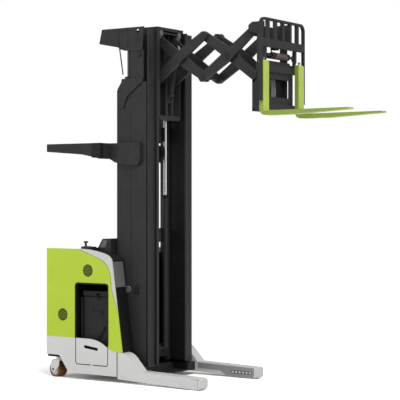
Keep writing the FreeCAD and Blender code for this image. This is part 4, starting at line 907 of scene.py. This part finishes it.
def inner_rail_shade_sheet(side, sign):
    """Dark sheet on the inner face of an inner rail: painted shade of the channel's inside."""
    lo, hi = low("mast_inner_rail_" + side), high("mast_inner_rail_" + side)
    slab("inner_shade_sheet_" + side, "seal", rounded(lo.x + 0.020, hi.x - 0.018, lo.z + 0.02, hi.z - 0.04, 0.004),
         "Y", sign * LINER_Y, sign * (LINER_Y - 0.0012), body="mast_inner")


def mast_head_dress(side, sign):
    """Seam, bolted plate, strut and axle ends on the side of the mast head."""
    lo, hi = low("mast_head"), high("mast_head")
    y = sign * abs(lo.y)
    out = (0, sign, 0)
    seam = Mesh()
    seam.box((rear_x + 0.752, y + sign * 0.0008, 3.236), (rear_x + 0.762, y - sign * 0.004, hi.z - 0.004))
    seam.finish("head_seam_" + side, "seal", body="mast_mid", edge=0.0005)
    x0, x1, z0, z1 = HEAD_PLATE
    plate = Mesh()
    plate.prism(from_rear(rounded(x0, x1, z0, z1, 0.010)), "Y", y - sign * 0.001, y + sign * 0.004)
    for x in (x0 + 0.015, x1 - 0.015):
        for z in (z0 + 0.020, z1 - 0.020):
            plate.bolt((rear_x + x, y + sign * 0.004, z), out, 0.007, False)
    plate.finish("head_plate_" + side, "mast_grey", body="mast_mid", edge=0.0015)
    strut = Mesh()
    ends = flat(from_rear(((0.757, 3.233), (0.800, 2.968))), sign * 0.352)
    strut.pipe(ends, 0.006, 10)
    strut.lathe([(0.010, -0.004), (0.010, 0.004)], ends[0], out, 20)
    strut.finish("head_strut_" + side, "mast_grey", body="mast_mid")
    axles = Mesh()
    for z in (3.300, 3.150):
        axles.lathe([(0.020, -0.002), (0.020, 0.006), (0.016, 0.009), (0.008, 0.009), (0.006, 0.004),
                     (0.0, 0.004)], (rear_x + 1.000, y, z), out, 28)
    axles.finish("head_axles_" + side, "mast_grey", body="mast_mid")


def chain_anchors():
    top = high("mast_inner_crossbars")
    outline = [(top.x + x, top.z - drop) for x, drop in ANCHOR]
    m = Mesh()
    for y in (-0.150, 0.150):
        m.prism(outline, "Y", y - 0.024, y + 0.024)
    m.finish("chain_anchors", "pad_grey", "mast_grey", "mast_inner", edge=0.003)


for dress in (mast_sides, mast_inside, inner_rail_shade_sheet, mast_head_dress):
    for side, sign in SIDES:
        dress(side, sign)
chain_anchors()


# ---- scissor and fork carriage
FORK_Y = 0.317
LINE_R = 0.0055
SHIFT_LINES = (((0.012, -0.088, 0.110), (0.012, -0.088, 0.150), (0.012, -0.135, 0.150), (0.012, -0.135, 0.045),
                (0.0, -0.135, 0.026)),
               ((0.012, -0.048, 0.110), (0.012, -0.048, 0.130), (0.030, 0.090, 0.130), (0.030, 0.135, 0.030),
                (0.004, 0.135, 0.026)))
HOOK = ((-0.018, -0.014), (-0.018, 0.004), (-0.010, 0.012), (0.034, 0.012), (0.043, 0.002), (0.043, -0.004),
        (0.0, -0.004), (0.0, -0.014))
BACKING_TOP = 2.945
RIBS_Z = (2.66, 2.93)


def scissor_dress():
    """Turned caps on the ends of the scissor's pivot pins."""
    reach, knee, front = pivot("reach"), pivot("scissor_knee"), pivot("fork_carriage_pivot")
    low_z = low("scissor_arm_a1").z + high("scissor_arm_a1").z - reach.z
    cross_z = (reach.z + low_z) / 2
    half = (knee.x - reach.x) / 2
    rows = (("scissor_c1", "arm_b1", reach.x + half, cross_z, 0.162, 0.024, 0.002),
            ("scissor_c2", "arm_b2", knee.x + half, cross_z, 0.162, 0.026, 0.007),
            ("scissor_knee_top", "arm_b1", knee.x, knee.z, 0.158, 0.024, 0.007),
            ("scissor_front_top", "arm_b2", front.x, front.z, 0.158, 0.024, 0.007),
            ("scissor_knee_low", "arm_b2", knee.x, low_z, 0.158, 0.024, 0.007))
    for name, body, x, z, y, r, h in rows:
        for side, sign in SIDES:
            m = Mesh()
            m.cap((x, sign * y, z), (0, sign, 0), r, h)
            m.finish("%s_%s" % (name, side), "arm_grey", body=body)


def shift_cylinder_dress():
    """Glands, shield, valve block and steel lines of the side-shift cylinder."""
    lo, hi = low("shift_cylinder"), high("shift_cylinder")
    cx, cz = hi.x - 0.028, (lo.z + hi.z) / 2
    glands = Mesh()
    for d in (-1, 1):
        glands.lathe([(0.030, -0.034), (0.030, -0.010), (0.027, -0.006), (0.027, -0.002), (0.0305, 0.002),
                      (0.0305, 0.012), (0.020, 0.016), (0.0135, 0.016)],
                     (cx, d * (hi.y - 0.016), cz), (0, d, 0), 36)
    glands.finish("shift_glands", "black", body="fork_carriage")
    shield = Mesh()
    shield.loops([flat(arc(cx, cz, r, 200, 344, 12) + arc(cx, cz, 0.026, 332, 200, 11), y)
                  for y, r in ((-0.112, 0.0285), (-0.108, 0.031), (0.108, 0.031), (0.112, 0.0285))])
    shield.finish("shift_shield", "primer", body="fork_carriage")
    valve_x = cx - 0.012
    valve = Mesh()
    valve.prism(rounded(-0.105, -0.030, cz + 0.052, cz + 0.106, 0.006), "X", cx - 0.034, cx + 0.012)
    for y in (-0.088, -0.048):
        valve.lathe([(0.012, -0.002), (0.012, 0.006), (0.009, 0.008), (0.009, 0.018)],
                    (valve_x, y, cz + 0.106), UP, 18)
    valve.finish("shift_valve", "seal", body="fork_carriage", edge=0.002)
    lines = Mesh()
    for route in SHIFT_LINES:
        lines.pipe([(cx - back, y, cz + up) for back, y, up in route], LINE_R, 12, 0.03)
    lines.finish("shift_lines", "black", body="fork_carriage")


def shift_frame_dress():
    """Screws and ladder of the sliding plate; hooks and pins that hold the forks."""
    foot = low("shift_frame")
    face = foot.x + 0.028
    fittings = Mesh()
    for y in (-0.225, 0.225):
        for up in (0.045, 0.300):
            fittings.bolt((face, y, foot.z + up), (1, 0, 0), 0.011)
    for z in (2.66, 2.72, 2.78, 2.84, 2.90):
        fittings.prism(rounded(0.205, 0.238, z - 0.008, z + 0.008, 0.003), "X", face - 0.001, face + 0.007)
    fittings.finish("plate_hardware", "mast_grey", body="fork_shift", edge=0.0008)
    x, z = low("forks").x, high("forks").z
    hook = [(x + dx, z + dz) for dx, dz in HOOK]
    hooks, pins = Mesh(), Mesh()
    for y in (-FORK_Y, FORK_Y):
        hooks.prism(hook, "Y", y - 0.044, y + 0.044)
        pins.lathe([(0.008, -0.004), (0.008, 0.016), (0.013, 0.018), (0.013, 0.026), (0.009, 0.030),
                    (0.0, 0.031)], (x + 0.018, y, z + 0.010), UP, 20)
    hooks.finish("fork_hooks", "lime_fork", body="fork_shift", edge=0.003)
    pins.finish("fork_pins", "zinc", body="fork_shift")


def fork_frame_dress():
    """Ribs, backing, pipes and side bolts of the frame that the scissor carries."""
    front, z0 = high("fork_frame").x, low("fork_frame").z
    ribs = Mesh()
    for y in (-0.055, 0.045):
        ribs.prism(rounded(y - 0.016, y + 0.016, *RIBS_Z, 0.005), "X", front - 0.062, front - 0.045)
    ribs.finish("frame_ribs", "arm_grey", body="fork_carriage", edge=0.002)
    slab("frame_backing", "seal", rounded(-0.196, 0.196, z0 + 0.075, BACKING_TOP, 0.01), "X",
         front - 0.0535, front - 0.050, body="fork_carriage", edge=0.001)
    pipes = Mesh()
    for k in range(4):
        y = -0.035 + 0.022 * k
        pipes.pipe([(front - 0.046, y, 2.665), (front - 0.040, y + 0.008, 2.76),
                    (front - 0.044, y - 0.006, 2.85), (front - 0.046, y, 2.935)],
                   0.0045 + 0.001 * (k % 2), 10, 0.03)
    pipes.finish("frame_pipes", "plate_grey", "black", "fork_carriage")
    for side, sign in SIDES:
        bolts = Mesh()
        for z in (2.66, 2.82, 3.16, 3.33):
            bolts.bolt((rear_x + 2.285, sign * 0.212, z), (0, sign, 0), 0.009)
        bolts.finish("frame_bolts_" + side, "mast_grey", body="fork_carriage")


scissor_dress()
shift_cylinder_dress()
shift_frame_dress()
fork_frame_dress()

# ---- camera, floor, light
LENS = 122.4
CAMERA = (7.220, -10.845, 1.79)
LOOK = Vector((-0.5635, 0.8261, 0.0))
FLOOR_NEAR = 2.2
FLOOR_FAR = 4.2
LAMPS = (("key", (3.5, -3.2, 8.0), 4.0, 390), ("fill", (-4.0, -7.5, 3.5), 5.0, 140),
         ("front", (8.0, 1.5, 3.0), 4.0, 90))
LAMP_TARGET = Vector((0, 0, 1.5))


def place_camera():
    cam = bpy.data.objects.new("camera", bpy.data.cameras.new("camera"))
    bpy.context.collection.objects.link(cam)
    cam.data.sensor_width = 36.0
    cam.data.lens = LENS
    cam.data.shift_y = -0.01
    cam.data.clip_end = 200.0
    cam.location = CAMERA
    cam.rotation_euler = LOOK.to_track_quat("-Z", "Y").to_euler()
    bpy.context.scene.camera = cam


def node_with(tree, kind, **values):
    """A new shader node with some of its inputs set."""
    node = tree.nodes.new("ShaderNode" + kind)
    for key, value in values.items():
        node.inputs[key].default_value = value
    return node


def joined(tree, kind, *sources):
    """A new shader node with its first inputs linked to the given outputs."""
    node = tree.nodes.new("ShaderNode" + kind)
    for i, source in enumerate(sources):
        tree.links.new(source, node.inputs[i])
    return node


def seen_ray(tree):
    """1 for camera, glossy and transmission rays."""
    path = tree.nodes.new("ShaderNodeLightPath").outputs
    total = path["Is Camera Ray"]
    for name in ("Is Glossy Ray", "Is Transmission Ray"):
        larger = joined(tree, "Math", total, path[name])
        larger.operation = "MAXIMUM"
        total = larger.outputs[0]
    return total


def place_floor():
    """White sweep: a lit floor near the truck that keeps its shadow, plain white further out."""
    material = bpy.data.materials.new("floor")
    material.use_nodes = True
    tree = material.node_tree
    tree.nodes.clear()
    lit = node_with(tree, "BsdfDiffuse", Color=(1.5, 1.5, 1.5, 1)).outputs[0]
    lift = node_with(tree, "Emission", Strength=0.05).outputs[0]
    near = joined(tree, "AddShader", lit, lift).outputs[0]
    white = node_with(tree, "Emission", Strength=1.0).outputs[0]
    plain = node_with(tree, "BsdfDiffuse", Color=(0.8, 0.8, 0.8, 1)).outputs[0]
    length = joined(tree, "VectorMath", tree.nodes.new("ShaderNodeNewGeometry").outputs["Position"])
    length.operation = "LENGTH"
    fade = node_with(tree, "MapRange", **{"From Min": FLOOR_NEAR, "From Max": FLOOR_FAR})
    fade.interpolation_type = "SMOOTHSTEP"
    tree.links.new(length.outputs["Value"], fade.inputs["Value"])
    shown = joined(tree, "MixShader", fade.outputs[0], near, white).outputs[0]
    joined(tree, "OutputMaterial", joined(tree, "MixShader", seen_ray(tree), plain, shown).outputs[0])
    bm = bmesh.new()
    bmesh.ops.create_grid(bm, x_segments=1, y_segments=1, size=60.0)
    me = bpy.data.meshes.new("floor")
    bm.to_mesh(me)
    floor = bpy.data.objects.new("floor", me)
    bpy.context.collection.objects.link(floor)
    me.materials.append(material)


def place_light():
    world = bpy.data.worlds.new("world")
    bpy.context.scene.world = world
    world.use_nodes = True
    tree = world.node_tree
    tree.nodes.clear()
    plain = node_with(tree, "Background", Color=(1, 1, 1, 1), Strength=0.58).outputs[0]
    white = node_with(tree, "Background", Color=(1, 1, 1, 1), Strength=1.0).outputs[0]
    camera_ray = tree.nodes.new("ShaderNodeLightPath").outputs["Is Camera Ray"]
    joined(tree, "OutputWorld", joined(tree, "MixShader", camera_ray, plain, white).outputs[0])
    for name, place, size, power in LAMPS:
        lamp = bpy.data.lights.new(name, "AREA")
        lamp.size = size
        lamp.energy = power
        obj = bpy.data.objects.new(name, lamp)
        bpy.context.collection.objects.link(obj)
        obj.location = place
        obj.rotation_euler = (LAMP_TARGET - Vector(place)).to_track_quat("-Z", "Y").to_euler()


place_camera()
place_floor()
place_light()
bpy.context.scene.view_settings.view_transform = "Standard"
